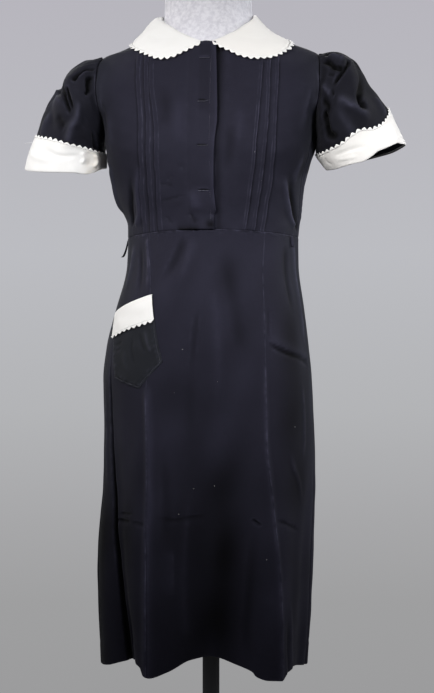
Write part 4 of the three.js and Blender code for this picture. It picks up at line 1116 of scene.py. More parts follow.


# its third colour, greener and greyer, paints a reflection on the cloth where its tint mark asks
BLACK = cotton(
    "black_cotton", (0.0115, 0.0110, 0.0190, 1), (0.0195, 0.0190, 0.0315, 1), (0.0165, 0.0180, 0.0230, 1),
    thread=0.00045, sheen=0.03, worn_share=0.5, mottle=0.9, shading_and_wear_strength=0.55,
)
WHITE = cotton(
    "white_cotton", (0.78, 0.77, 0.755, 1), (0.85, 0.845, 0.835, 1), (0.80, 0.755, 0.69, 1),
    thread=0.0004, sheen=0.15, worn_share=0.1, mottle=0.5, shading_and_wear_strength=0.08,
)
BRAID = cotton(
    "zigzag_braid", (0.84, 0.83, 0.81, 1), (0.92, 0.915, 0.905, 1), (0.84, 0.8, 0.74, 1),
    thread=0.0007, sheen=0.15, worn_share=0.1, mottle=0.5, shading_and_wear_strength=0.0,
)
# a grey paler than the black cloth, which paints the sheen of the buttonholes' and the seams' stitches
THREAD = cotton(
    "grey_thread", (0.05, 0.05, 0.07, 1), (0.13, 0.13, 0.16, 1), (0.08, 0.08, 0.09, 1),
    thread=0.0003, sheen=0.1, worn_share=0.2, mottle=0.3, shading_and_wear_strength=0.0,
)
JERSEY = jersey("form_jersey")
METAL = painted_metal("stand_metal")
COTTONS = {"black_cotton": BLACK, "white_cotton": WHITE}

# ---------------------------------------------------------------- bodice

LAST_ANCHOR = 9  # the number of a front's last anchor column
SIDE_COLUMNS = 3  # how many columns further on its side seam lies
# where the bodice's rows lie closer together: the height, the reach of that and its weight
BODICE_FOCUS = [(UNDERARM_Z, 5, 2), (SHOULDER_TIP_Z, 5, 3), (WAIST_SIDE_Z, 5, 3)]


def front_anchors(side_name, height):
    """The distances from the centre front of a front's ten anchor columns, at a height."""
    first, second, third = (curve(TUCKS[side_name], height, key) for key in TUCK_KEYS)
    flat = 0 * height
    return [
        flat - OVERLAP, flat + OVERLAP, flat + OVERLAP + LAP_RAMP, first - 8,
        first, (first + second) / 2, second, (second + third) / 2, third, third + 7,
    ]


def front_places(side_name, column, side_z):
    """The angle and height of places on a front, by its column and the height along its side."""
    side = SIDE[side_name]

    def column_angle(z, edge_z):
        height = z - np.clip(column - 1, 0, 1) * np.maximum(z - CROWN_Z, 0)
        inner = np.minimum(column, LAST_ANCHOR)
        anchors = front_anchors(side_name, height)
        x = sum(anchor * np.maximum(0, 1 - np.abs(inner - i)) for i, anchor in enumerate(anchors))
        if side_name == "right":
            x = x + (OVERLAP - curve(LAP_EDGE, height)) * np.clip(1 - column, 0, 1)
        own = side * angle_at(side * x, height)
        cut = armhole_cut("front", edge_z)
        beyond = np.where(cut > 0, -UNDER, SEAM_GAP / 2)
        edge = 90 - cut - seam_angle(body_point, side * 90, edge_z, beyond)
        return mix(own, edge, np.clip((column - LAST_ANCHOR) / SIDE_COLUMNS, 0, 1))

    lowest = waist_z(column_angle(np.float64(WAIST_SIDE_Z), np.float64(WAIST_SIDE_Z)))
    neck_angle = column_angle(np.float64(NECK_FRONT_Z), np.float64(NECK_POINT_Z))
    highest = neckline_z(neck_angle)
    if side_name == "left":
        highest = highest + NECK_STAND * bell(neck_angle, 5)
    share = (side_z - WAIST_SIDE_Z) / (NECK_POINT_Z - WAIST_SIDE_Z)
    z = mix(lowest, highest, share)
    return side * column_angle(z, side_z), z


def tuck_profile(beyond):
    """A tuck's height, by the distance past its folded edge towards the side."""
    seam = 0.55 * ease(beyond, -TUCK_WIDE - 1, -TUCK_WIDE + 0.4)
    fold = 0.45 * ease(beyond, -TUCK_WIDE, -0.3)
    return (seam + fold) * (1 - ease(beyond, 0, 0.9))


def tucks(side_name, angle, x, z):
    """The height of a front's three tucks, which end under the collar, with a painted highlight along each
    folded edge and a painted shadow beside it.
    """
    collar_z = collar_edge_z(angle)
    shown = 1 - ease(z, collar_z - 10, collar_z + 2)
    uneven = 1 + 0.2 * ripple(0 * z, z, 70, 11)
    out, painted_shading_and_wear = np.zeros(z.shape), np.zeros(z.shape)
    for key in TUCK_KEYS:
        edge = curve(TUCKS[side_name], np.minimum(z, CROWN_Z), key) + 0.5 * ripple(0 * z, z, 45, 12 + key)
        dashes = np.clip(0.6 + 0.5 * ripple(0 * z + 9 * key, z, 16, 16), 0.1, 1.2)
        out += TUCK_RISE * uneven * shown * tuck_profile(x - edge)
        # painted highlight in dashes along each folded edge, painted shadow just past it
        painted_shading_and_wear += shown * (3.6 * dashes * bell(x - edge + 0.4, 0.9) - 2.4 * bell(x - edge - 2.2, 1.6))
    return out, painted_shading_and_wear


def waist_relief(angle, above):
    """How the cloth rolls in and puckers at the waist seam, by the distance from it."""
    pucker = sum(size * bell(turn(angle, place), 0.9) for place, size in PUCKERS)
    shallow = 0.5 * ripple(turn(angle), 0, 9, 5)
    return (pucker + shallow) * 0.7 * np.exp(-above / 6) - 1.1 * np.exp(-above / 1.6)


def buttonhole_relief(x, z):
    """The worked slits: a groove between two raised lips."""
    start, end = BUTTONHOLE_ENDS
    inside = between(x, start - 1, start + 1, end - 1, end + 1)
    belly = np.sin(np.pi * np.clip((x - start) / (end - start), 0, 1))
    height = np.zeros(z.shape)
    for middle, gape in BUTTONHOLES:
        groove = bell(z - middle - gape / 2, 0.5 + gape * 0.5 * belly)
        lower_lip = bell(z - middle + 0.9, 0.9)
        upper_lip = bell(z - middle - 1.1 - gape, 0.9)
        height += inside * (lower_lip + 0.5 * upper_lip - 1.3 * groove)
    return height


def upper_front(angle, x, z):
    """The height that the upper front's overlap adds, with its buttonholes, and the light and shade painted
    on it.
    """
    past_edge = -x - curve(LAP_EDGE, z)
    above = z - waist_z(angle)
    lips = buttonhole_relief(-x, z)
    out = lips + LAYER * (1 - ease(x, OVERLAP, OVERLAP + LAP_RAMP + 4))
    # its edge stands off the under front, all but at the loose flap near its foot
    stands_off = 2.8 * (1 - 0.8 * bell(z - LAP_FLAP_Z - 1, 7))
    out += stands_off * np.exp(past_edge / 9) - 0.9 * bell(past_edge, 1.2)
    out -= 1.4 * bell(z - LAP_FLAP_Z, 3.4) * bell(x + 10.4, 3.2)
    # two pressed lines run down it, and its foot stands off the waist
    out -= 0.45 * bell(x + 8.6, 1.0) + 0.3 * bell(x - 10.6, 1.4)
    lift = 2.6 * between(angle, -20, -16, -5, -1) + 1.2 * bell(angle - 1, 4)
    out += lift * np.exp(-above / 5)
    # painted highlight along the edge, the neck's rim and the buttonholes' lips; painted shadow in the
    # slits and at the foot under its lifted edge; a band down its middle is darker above 1206
    painted_shading_and_wear = (2.6 * bell(past_edge + 2.2, 2.6) + 3 * bell(past_edge + 0.4, 0.9)) * ease(z, 1060, 1080)
    painted_shading_and_wear -= 1.3 * between(x, -10, -6, 8, 11) * ease(z, 1206, 1222)
    painted_shading_and_wear += 2.4 * bell(neckline_z(angle) - z - 1.5, 1.2)
    painted_shading_and_wear += 7 * ease(lips, 0.25, 0.5) - 9 * ease(-lips, 0.2, 0.5)
    painted_shading_and_wear -= 7.6 * np.exp(-np.maximum(above, 0) / 6) * between(angle, -21, -17, -7, -1)
    painted_shading_and_wear -= 7 * bell(above - 7.2, 7.2) * bell(x + 8, 7)
    return out, painted_shading_and_wear


def under_front(x, z):
    """The height of the under front, which lies lower beside the upper one, and the painted shadow beside
    the upper one's edge and at its top.
    """
    out = -mix(1.2, 3.6, ease(z, 1150, 1240)) * bell(x - 24, 7) * (0.8 + 0.2 * np.cos((z - 1300) / 30))
    painted_shading_and_wear = -mix(3.8, 5.6, ease(z, 1170, 1230)) * bell(x - 20, mix(5, 7, ease(z, 1150, 1200)))
    painted_shading_and_wear -= 5 * ease(z, 1306, 1316) * bell(x - 16, 5)
    return out, painted_shading_and_wear


def bodice_painted_reflection(angle):
    """A painted reflection: the cloth is a little greener and less violet towards the sides."""
    return 0.5 * ease(np.abs(turn(angle)), 40, 75)


def bodice_heights(rows, focus):
    """The heights along the bodice's side at which its rows begin."""
    return stations(WAIST_SIDE_Z + SEAM_GAP / 2, NECK_POINT_Z, rows, focus)[:, None]


def bodice_front(side_name, rows, columns):
    """A front of the bodice, its columns from the centre to the side and its rows from the waist up."""
    focus = [(place, 0.22, 5) for place in (4, 6, 8)]  # the tucks' folded edges
    focus += [(0, 0.08, 4), (1.5, 0.5, 0.6), (2.5, 0.5, 2), (10.6, 0.9, 2)]
    column = stations(0, LAST_ANCHOR + SIDE_COLUMNS, columns, focus)[None, :]
    slits = [(z + 0.5, 3, 5) for z, _ in BUTTONHOLES] if side_name == "right" else []
    side_z = bodice_heights(rows, BODICE_FOCUS + slits)
    angle, z = front_places(side_name, column, side_z)
    x = SIDE[side_name] * body_point(angle, z)[..., 0]
    folds = fold_heights(BODICE_FOLDS, angle, z, degree_length(z))
    tuck_out, tuck_painted_shading = tucks(side_name, angle, x, z)
    own_out, own_painted_shading = upper_front(angle, x, z) if side_name == "right" else under_front(x, z)
    out = folds + tuck_out + own_out + waist_relief(angle, z - waist_z(angle))
    out += 0.4 * ripple(x, z, 38, 21)
    # the folds are painted paler on their ridges and darker in their troughs, as painted highlight and
    # painted shade, over the tucks' and the overlap's own painted light and shade
    return cloth(
        f"bodice_front_{side_name}", on_front, angle, z, out, "black_cotton", tint=bodice_painted_reflection(angle),
        painted_shading_and_wear=1.7 * folds + tuck_painted_shading + own_painted_shading,
    )


def bodice_back(rows, columns):
    """The back of the bodice, which runs on under the fronts' sides and the sleeves' heads."""
    side_z = bodice_heights(rows, BODICE_FOCUS)
    share = np.linspace(0, 1, columns)[None, :]
    start = 90 + armhole_cut("back", side_z) - seam_angle(body_point, 90, side_z, UNDER)
    angle = mix(start, 360 - start, share)
    beyond = UNDER - np.minimum(angle - start, 360 - start - angle) * degree_length(side_z)
    plain = mix(90, 270, share)
    rise = (side_z - WAIST_SIDE_Z) / (NECK_POINT_Z - WAIST_SIDE_Z)
    z = mix(waist_z(plain), neckline_z(plain), rise)
    folds = fold_heights(BODICE_FOLDS, angle, z, degree_length(z))
    out = folds + waist_relief(angle, z - waist_z(angle)) + tucked_under(beyond)
    out += 0.4 * ripple(2 * angle, z, 42, 31)
    for middle in DARTS:
        out -= 0.9 * (1 - ease(z, 1060, 1130)) * bell((angle - middle) * degree_length(z), 1.3)
    tint = bodice_painted_reflection(angle)
    # the folds are painted paler on their ridges and darker in their troughs: painted highlight and painted
    # shade
    return cloth("bodice_back", on_body, angle, z, out, "black_cotton", tint=tint, painted_shading_and_wear=folds)


# ---------------------------------------------------------------- skirt


def seam_line(key, turned=0):
    """One of the table's seams as a function of height, turned on by a whole turn where asked."""

    def line(z):
        return turned + curve(SEAMS, z, key)

    return line


def side_line(angle):
    """A side seam, which keeps its angle."""

    def line(z):
        return np.full_like(z, angle, dtype=float)

    return line


def skirt_waist(angle, below):
    """The skirt's shape at the waist seam. Above it the cloth runs on under the bodice."""
    uneven = 0.3 * bell(below - 3, 2.2) * ripple(turn(angle), 0, 7, 44)
    return waist_relief(angle, below) + 0.8 * np.exp(-np.abs(below) / 1.6) + uneven + tucked_under(-below)


def gore_edge(angle, z, apart, over):
    """The shape beside one of a gore's long edges, which lies over its neighbour or under it."""
    if not over:
        return tucked_under(UNDER - apart) - 0.2 * np.exp(-apart / 4)
    lip = np.clip(0.5 + 0.8 * ripple(turn(angle), z, 60, 47), 0, 1) * ease(waist_z(angle) - z, 20, 160)
    return 0.35 * lip * (np.exp(-apart / 5) - np.exp(-apart / 1.2))


def skirt_hem(above):
    """The doubled hem, the dip of its stitches and its rounded edge, by the height above the edge."""
    doubled = 0.35 * (1 - ease(above, HEM_DEEP - 6, HEM_DEEP))
    return doubled - 0.35 * bell(above - HEM_DEEP, 1.2) - 0.5 * np.exp(-above)


def skirt_rumples(angle, z):
    """Soft rumples that grow down the skirt."""
    fall = np.clip((1000 - z) / 400, 0.15, 1)
    return fall * (0.7 * ripple(2.2 * angle, z / 3, 45, 41) + 0.35 * ripple(2.2 * angle, z, 60, 42))


def skirt_streaks_and_painted_shading(angle, z, below):
    """Painted highlight dashes and a painted shade line at the waist seam, uneven streaks, and the broad
    painted shade and light.
    """
    painted_shading_and_wear = 3.2 * bell(below - 1.6, 1.4) * np.clip(-0.15 + ripple(turn(angle), 0, 5, 45), -0.8, 1.2)
    painted_shading_and_wear += 1.1 * ripple(1.3 * angle, z / 3, 45, 46) * ease(below, 5, 60)
    painted_shading_and_wear -= 1.5 * np.exp(-np.maximum(below, 0) / 1.2)
    for strength, middle, width, start_z, full_z in SKIRT_SHADES:
        painted_shading_and_wear += strength * bell(turn(angle, middle), width) * ease(-z, -start_z, -full_z)
    return painted_shading_and_wear


def gore(node, start, end, rows, columns, raised, focus=()):
    """One gore of the skirt; raised says whether each of its two edges lies over its neighbour's."""
    share = stations(0, 1, rows, [(0, 0.01, 4), (0.35, 0.016, 2), (1, 0.012, 6)])[:, None]
    across = stations(0, 1, columns, [(0, 0.03, 3), (1, 0.03, 3), *focus])[None, :]
    height = mix(HEM_Z, WAIST_SIDE_Z, share)
    start_gap, end_gap = (SEAM_GAP / 2 if over else -UNDER for over in raised)
    low = start(height) + seam_angle(skirt_point, start(height), height, start_gap)
    high = end(height) - seam_angle(skirt_point, end(height), height, end_gap)
    angle = mix(low, high, across)
    z = mix(hem_z(angle), waist_z(angle) + UNDER, share)
    below = waist_z(angle) - z
    degree = degree_length(z)
    folds = fold_heights(SKIRT_FOLDS, angle, z, degree)
    out = folds + skirt_waist(angle, below) + skirt_hem(z - hem_z(angle)) + skirt_rumples(angle, z)
    for edge, over in zip((low, high), raised):
        out += gore_edge(angle, z, np.abs(angle - edge) * degree, over)
    # painted reflection: greener and less violet towards the sides, fading out low on the skirt
    tint = 0.5 * ease(np.abs(turn(angle)), 42, 70) * ease(z, 500, 800)
    # the folds are painted paler on their ridges and darker in their troughs, as painted highlight and
    # painted shade
    painted_shading_and_wear = folds + skirt_streaks_and_painted_shading(angle, z, below)
    return cloth(node, on_skirt, angle, z, out, "black_cotton", tint=tint, painted_shading_and_wear=painted_shading_and_wear)


def skirt():
    """The six gores, from the front round each side to the back."""
    front_right, front_left = seam_line(RIGHT_FRONT), seam_line(LEFT_FRONT)
    back_right, back_left = seam_line(RIGHT_BACK), seam_line(LEFT_BACK)
    side_right, side_left = side_line(-90), side_line(90)
    fold = [(0.5, 0.13, 2)]  # the deep fold down the right side front
    return [
        gore("skirt_front", front_right, front_left, 200, 116, (True, True)),
        gore("skirt_side_front_right", side_right, front_right, 200, 96, (True, False), fold),
        gore("skirt_side_front_left", front_left, side_left, 210, 56, (False, True)),
        gore("skirt_side_back_right", back_right, side_right, 150, 46, (False, False)),
        gore("skirt_side_back_left", side_left, back_left, 150, 46, (False, False)),
        gore("skirt_back", back_left, seam_line(RIGHT_BACK, 360), 150, 84, (True, True)),
    ]


# ---------------------------------------------------------------- sleeves and cuffs


def sleeve_angle(side_name, u):
    """The angle round a sleeve with its front at 90 on both sides."""
    return turn(u if side_name == "left" else -u)


def table_place(side_name, u, t):
    """A place on a sleeve as the tables of creases give it."""
    return sleeve_angle(side_name, u) + 0 * t, SLEEVE_LENGTH * t + 0 * u


def crease_heights(folds, angle, down):
    """Fold heights on a sleeve, whose second coordinate grows downwards."""
    upright = [(*sizes, [(a, -d) for a, d in path]) for *sizes, path in folds]
    return fold_heights(upright, angle, -down, np.full(angle.shape, SLEEVE_DEGREE))


def sleeve_creases(side_name, u, t):
    angle, down = table_place(side_name, u, t)
    out = crease_heights(SLEEVE_CREASES[side_name], angle, down)
    out += crease_heights(SLEEVE_BACK_CREASES, angle - BACK_CREASES_TURNED[side_name], down)
    return out * ease(down, 4, 16)


def cuff_top(side_name, u):
    """How far along the sleeve the cuff's upper edge lies."""
    return CUFF_TOP[side_name] + curve(CUFF_WAVE[side_name], sleeve_angle(side_name, u))


def sleeve_hem(side_name, u):
    """How far along the sleeve its lower edge lies."""
    return 1 + curve(CUFF_EDGE[side_name], sleeve_angle(side_name, u))


def sleeve_relief(side_name, u, t):
    """A sleeve's creases, its gathered, puffed head and its finer rumples, all calmer under the cuff."""
    angle, down = table_place(side_name, u, t)
    out = sleeve_creases(side_name, u, t)
    gather = sum(size * bell(turn(angle, place), 4) for place, size in GATHERS) - 0.8
    out += 0.9 * gather * between(down, 1, 9, 18, 60) * (1 - ease(angle, 40, 80))
    out += 2.6 * bell(down - 5, 5) * bell(angle, 30)
    out += 0.45 * ripple(SLEEVE_DEGREE * angle, down, 34, 51) * ease(down, 2, 20)
    top = cuff_top(side_name, u)
    return out * mix(1, CUFF_CALM, ease(t, top - 0.06, top))


def sleeve(side_name, rows, columns):
    """A short puffed sleeve, from the armhole to just inside its cuff's edge."""
    u = np.linspace(0, 360, columns, endpoint=False)[None, :]
    share = stations(0, 1, rows, [(0, 0.05, 2)])[:, None]
    t = share * (sleeve_hem(side_name, u) - (1 - SLEEVE_END))
    seam = 4 * np.exp(-SLEEVE_LENGTH * t / 2.5)  # painted light along the armhole's seam, brightening its shade
    # the creases are painted paler on their ridges and darker in their troughs (painted highlight and
    # painted shade), the whole sleeve a little darker as painted shade; the tint paints a reflection,
    # stronger over each sleeve's top and back
    return cloth(
        f"sleeve_{side_name}", on_sleeve(side_name), u, t, sleeve_relief(side_name, u, t), "black_cotton",
        closed=True, tint=0.6 * (0.5 + 0.5 * ease(-sleeve_angle(side_name, u), -60, 0)),
        painted_shading_and_wear=sleeve_creases(side_name, u, t) - SLEEVE_SHADE[side_name] + seam,
    )


def cuff_relief(side_name, u, t):
    """How far a cuff stands off its sleeve's plain surface."""
    angle, down = table_place(side_name, u, t)
    out = crease_heights(CUFF_CREASES[side_name] + CUFF_BACK_CREASES, angle, down)
    out += 0.35 * ripple(SLEEVE_DEGREE * angle, down, 40, 61)
    return CUFF_OUT + np.maximum(out, -1.2) + sleeve_relief(side_name, u, t)


def cuff(side_name, rows, columns):
    """A turned-up cuff, over the lower end of its sleeve."""
    u = np.linspace(0, 360, columns, endpoint=False)[None, :]
    share = stations(0, 1, rows, [(0, 0.03, 3), (1, 0.04, 5)])[:, None]
    t = mix(cuff_top(side_name, u), sleeve_hem(side_name, u), share)
    to_edge = (sleeve_hem(side_name, u) - t) * SLEEVE_LENGTH
    out = cuff_relief(side_name, u, t) - 1.3 * np.exp(-to_edge / 1.1)
    tint = 0.3
    if side_name == "right":  # its crumpled inner end is browner
        angle, down = table_place(side_name, u, t)
        crumple = 0.75 + 0.25 * ripple(SLEEVE_DEGREE * angle, down, 14, 63)
        tint = crumple * between(angle, 116, 138, 172, 180)
    return cloth(
        f"cuff_{side_name}", on_sleeve(side_name), u, t, out, "white_cotton", closed=True, thickness=DOUBLE,
        tint=tint,
    )


# ---------------------------------------------------------------- collar


def collar(rows, columns):
    """The round collar, in one piece from one end round the back to the other."""
    ends = [(COLLAR_END, 3, 3), (360 - COLLAR_END, 3, 3)]
    angle = stations(COLLAR_END, 360 - COLLAR_END, columns, ends)[None, :]
    share = stations(0, 1, rows, [(0, 0.03, 4), (1, 0.05, 4)])[:, None]
    edge, top = collar_edge_z(angle), collar_top_z(angle)
    z = mix(edge, top, share)
    angle = angle + 0 * share
    from_edge, from_roll = share * (top - edge), (1 - share) * (top - edge)
    out = collar_out(angle, share) + fold_heights(COLLAR_FOLDS, angle, z, degree_length(z))
    out += 0.3 * ripple(1.8 * angle, z, 34, 71) * ease(from_edge, 2, 12)
    out -= 0.25 * bell(from_edge - 3, 0.7) + 0.5 * np.exp(-from_edge / 0.8)
    out -= 3.2 * np.exp(-from_roll / 1.8)
    tint = np.where(turn(angle) > 0, 0.35, 0.05) * (1 - ease(np.abs(turn(angle)), 170, 180))
    return cloth("collar", on_body, angle, z, out, "white_cotton", thickness=DOUBLE, tint=tint)


# ---------------------------------------------------------------- pocket


def pocket_place(across, down):
    """A place on the skirt, from the distances across and down the pocket."""
    sideways = across * math.cos(POCKET_TILT) + down * math.sin(POCKET_TILT)
    z = POCKET_TOP_Z - down * math.cos(POCKET_TILT) + across * math.sin(POCKET_TILT)
    step = body_point(POCKET_ANGLE + 0.5, z) - body_point(POCKET_ANGLE - 0.5, z)
    return POCKET_ANGLE + sideways / np.linalg.norm(step, axis=-1), z


def pocket_depth(across):
    """How far down the pocket reaches, to its pointed foot."""
    return POCKET_SIDE + POCKET_POINT * (1 - np.abs(across) / POCKET_HALF)


def pocket_across(columns, *focus):
    """The distances of a pocket's columns from its middle."""
    sides = [(-POCKET_HALF, 2, 3), (POCKET_HALF, 2, 3)]
    return stations(-POCKET_HALF, POCKET_HALF, columns, sides + list(focus))[None, :]


def pocket_patch(rows, columns):
    """The pocket itself, puckered along its stitched edges."""
    across = pocket_across(columns, (0, 3, 1))
    share = stations(0, 1, rows, [(0, 0.03, 3)])[:, None]
    down = pocket_depth(across) * (1 - share)
    angle, z = pocket_place(across, down)
    across = across + 0 * share
    slope = math.cos(math.atan(POCKET_POINT / POCKET_HALF))
    from_foot = (pocket_depth(across) - down) * slope
    from_edge = np.minimum(POCKET_HALF - np.abs(across), from_foot)
    folds = fold_heights(POCKET_FOLDS, across, -down, np.ones(across.shape))
    out = mix(1.0, POCKET_OUT - 0.4, ease(from_edge, 0, 7)) - 0.35 * bell(from_edge - 2.5, 0.7)
    out += 0.5 * ripple(across, down, 11, 81) * bell(from_edge - 3, 6)
    out += folds * (down > 0) * ease(from_edge, 0, 5) + 0.3 * ripple(across, down, 24, 82)
    # painted shading: folds paler on their ridges and darker in their troughs, a paler line along the edge
    # and the whole pocket a little darker; its tint of 1 paints a reflection over all of it
    painted_shading_and_wear = 1.4 * folds + 2.2 * bell(from_edge - 1.2, 1) - 1.5
    return cloth("pocket_patch", on_skirt, angle, z, out, "black_cotton", tint=1.0, painted_shading_and_wear=painted_shading_and_wear)


def pocket_band(rows, columns):
    """The white band turned down over the pocket's top."""
    across = pocket_across(columns)
    down = stations(POCKET_BAND, 0, rows)[:, None]
    angle, z = pocket_place(across, down)
    from_side = POCKET_HALF - np.abs(across) + 0 * down
    out = BAND_OUT - 0.7 * np.exp(-from_side) - 1.6 * np.exp(-down / 1.5)
    out += 0.35 * ripple(across, down, 26, 91) - 0.6 * (1 - ease(from_side, 0, 10))
    return cloth("pocket_band", on_skirt, angle, z, out, "white_cotton", thickness=DOUBLE, tint=0.1)


# ---------------------------------------------------------------- edges and lines on the cloth


def level(height):
    """A height above a surface that is the same everywhere."""
    return lambda u, v: height + 0 * u


def collar_edge(t):
    angle = mix(COLLAR_END, 360 - COLLAR_END, t)
    return angle, collar_edge_z(angle)


def cuff_edge(side_name, t):
    return t * 360, cuff_top(side_name, t * 360)


def band_edge(t):
    return pocket_place(mix(-POCKET_HALF, POCKET_HALF, t), POCKET_BAND + 0 * t)


# ---------------------------------------------------------------- zigzag braid


def edge_steps(surface, place, t):
    """For places t along an edge, how (u, v) changes for each millimetre beyond it."""
    nudge = 1 / 240
    near = np.clip(t, nudge, 1 - nudge)
    along = surface(*place(near + nudge), 0 * t) - surface(*place(near - nudge), 0 * t)
    u, v = place(t)
    here = surface(u, v, 0 * t)
    away = np.cross(along, surface(u, v, 1 + 0 * t) - here)
    away /= np.linalg.norm(away, axis=-1, keepdims=True)
    small = 0.01
    along_u = (surface(u + small, v, 0 * t) - here) / small
    along_v = (surface(u, v + small, 0 * t) - here) / small
    return [(away * step).sum(-1) / (step**2).sum(-1) for step in (along_u, along_v)]


def braid(node, surface, place, out_at, closed=False):
    """Zigzag braid along an edge: rounded points that reach beyond it, thickest along their middle."""
    fine = np.linspace(0, 1, 2401)
    length = lengths_along(surface(*place(fine), 0 * fine))
    steps = round(length[-1] / BRAID_PITCH) * BRAID_STEPS
    number = np.arange(steps if closed else steps + 1)
    t = np.interp(number * length[-1] / steps, length, fine)
    step_u, step_v = edge_steps(surface, place, t)
    phase = (number / BRAID_STEPS) % 1
    point = 0.7 * np.sin(np.pi * phase) + 0.3 * (1 - np.abs(2 * phase - 1))
    wobble = 1 + 0.12 * ripple(number, 0, 3.1 * BRAID_STEPS, 7)
    tips = mix(BRAID_ROOT, BRAID_TIP, point) * wobble
    u, v = place(t)
    middle = out_at(u, v) - CAD_WALL / 2 + BRAID_LIFT
    outer, inner = [], []
    for share, rise in BRAID_SECTION:
        reach = mix(BRAID_GAP, tips, share)
        here = (u + step_u * reach, v + step_v * reach)
        outer.append(surface(*here, middle - 0.15 + 0.6 * rise))
        inner.append(surface(*here, middle - 0.2 - 0.35 * rise))
    outer, inner = np.array(outer), np.array(inner)
    lengths = grid_lengths(outer)
    piece = mesh_object(
        node + "_braid", both_faces(outer, inner), wall_faces(*outer.shape[:2], closed), BRAID,
        both_faces(lengths, lengths), plain_marks(2 * outer[..., 0].size, 0.1),
    )
    return keep(piece, "zigzag_braid", node)


def braids():
    """The braid on each white piece's edge, by the piece."""
    made = {"collar": braid("collar_edging", on_body, collar_edge, level(COLLAR_OUT))}
    for side_name in SIDE:
        made["cuff_" + side_name] = braid(
            "cuff_edging_" + side_name, on_sleeve(side_name), partial(cuff_edge, side_name),
            partial(cuff_relief, side_name), True,
        )
    made["band"] = braid("pocket_edging", on_skirt, band_edge, level(BAND_OUT - 0.2))
    return made


# ---------------------------------------------------------------- belt loops


def belt_loop(node, angle, top, length, stand):
    """A narrow loop end that hangs from the waist seam: a folded strip that twists a little."""
    rows = np.linspace(0, 1, 26)[:, None]
    across = np.linspace(-1, 1, 9)[None, :]
    body_reach = 90
    half = np.degrees(LOOP_WIDE / 2 / body_reach) * mix(0.75, 1, ease(rows, 0, 0.6))
    z = mix(top - length, top, rows) + 0 * across
    out = mix(stand, LAYER, np.sqrt(rows)) + 0.5 * (1 - across**2) + 0.9 * across * (1 - rows)
    return cloth(node, on_skirt, angle + half * across, z, out, "black_cotton", thickness=1.1)


# ---------------------------------------------------------------- dress form and stand


def ring_solid(name, rings, material):
    """A closed solid from rings of points, with its two ends drawn together."""
    rings = np.asarray(rings)
    count, columns = rings.shape[:2]
    grid = numbered(count, columns)
    points = np.concatenate([rings.reshape(-1, 3), rings[:1].mean(1), rings[-1:].mean(1)])
    low, high = count * columns, count * columns + 1
    caps = [(low, grid[0, i + 1], grid[0, i]) for i in range(columns)]
    caps += [(high, grid[-1, i], grid[-1, i + 1]) for i in range(columns)]
    return mesh_object(name, points, grid_faces(grid).tolist() + caps, material)


def dress_form():
    """The limbless form from its rounded foot, inside the skirt, to its capped neck."""
    angles = np.arange(0, 360, 2.0)
    neck_z = FORM_NECK_Z - 10
    heights = [*np.arange(FORM_FOOT_Z + 6, neck_z, 7.0), *np.linspace(neck_z, neck_z + 5, 3)]
    rings = [on_body(angles, z + 0 * angles, 0 * angles - CAD_WALL - curve(EASE, z)) for z in heights]

    def drawn_in(ring, share, z):
        return ring * [share, share, 0] + [0, 0, z]

    foot = [drawn_in(rings[0], share, FORM_FOOT_Z + up) for share, up in FOOT_ROUND]
    neck = [drawn_in(rings[-1], share, FORM_NECK_Z - down) for share, down in NECK_ROUND]
    piece = ring_solid("form_torso_jersey", foot + rings + neck, JERSEY)
    return keep(piece, "form_jersey", "form_torso")


def lathe(name, profile, segments, material):
    """A solid turned about the upright axis, from its radii and heights."""
    turns = np.linspace(0, 2 * math.pi, segments, endpoint=False)
    flat = np.stack([np.cos(turns), np.sin(turns), 0 * turns], -1)
    return ring_solid(name, [flat * radius + [0, 0, z] for radius, z in profile], material)


def stand():
    """The pole and the round base with its hub."""
    low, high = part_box("stand_pole")
    radius = (high.x - low.x) / 2 / MM
    foot, top = low.z / MM, high.z / MM
    edge = [(1, 0), (0.3, 0.3), (0, 1)]  # the rounding of its ends: in from its side, along from its end
    profile = [(radius - inset, foot + up) for inset, up in edge]
    profile += [(radius, z) for z in np.linspace(foot + 20, top - 20, 12)]
    profile += [(radius - inset, top - down) for inset, down in reversed(edge)]
    pole = lathe("stand_pole_metal", profile, 64, METAL)

    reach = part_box("stand_base")[1].x / MM
    side = [(3, 0), (1, 0.6), (0.2, 1.6), (0, 3), (0, 9)]
    corner = [(3 - 3 * math.cos(a), 9 + 3 * math.sin(a)) for a in np.linspace(0, math.pi / 2, 5)[1:]]
    plate = [(mix(reach - 6, 34, share), mix(12.05, 14.6, share)) for share in np.linspace(0, 1, 8)]
    hub = [(32, 16), (30.4, 19), (30, 24), (29.6, 29), (28.6, 32.4), (26, 34), (14, 34)]
    profile = [(reach - inset, z) for inset, z in side + corner] + plate + hub
    base = lathe("stand_base_metal", profile, 128, METAL)
    return [keep(pole, "stand_metal", "stand_pole"), keep(base, "stand_metal", "stand_base")]


# ---------------------------------------------------------------- stitches, lint and loose thread

# one stitch: its points along, beside and above its middle, in shares of its length and twice its width
STITCH_POINTS = [
    (-0.5, 0, -0.1), (-0.28, 0.5, 0), (0.28, 0.5, 0), (0.5, 0, -0.1), (0.28, -0.5, 0), (-0.28, -0.5, 0),
    (-0.28, 0, 0.45), (0.28, 0, 0.45),
]
STITCH_FACES = [
    (0, 6, 1), (1, 6, 7), (1, 7, 2), (2, 7, 3), (3, 7, 4), (4, 7, 6), (4, 6, 5), (5, 6, 0),
    (0, 1, 2), (0, 2, 3), (0, 3, 4), (0, 4, 5),
]


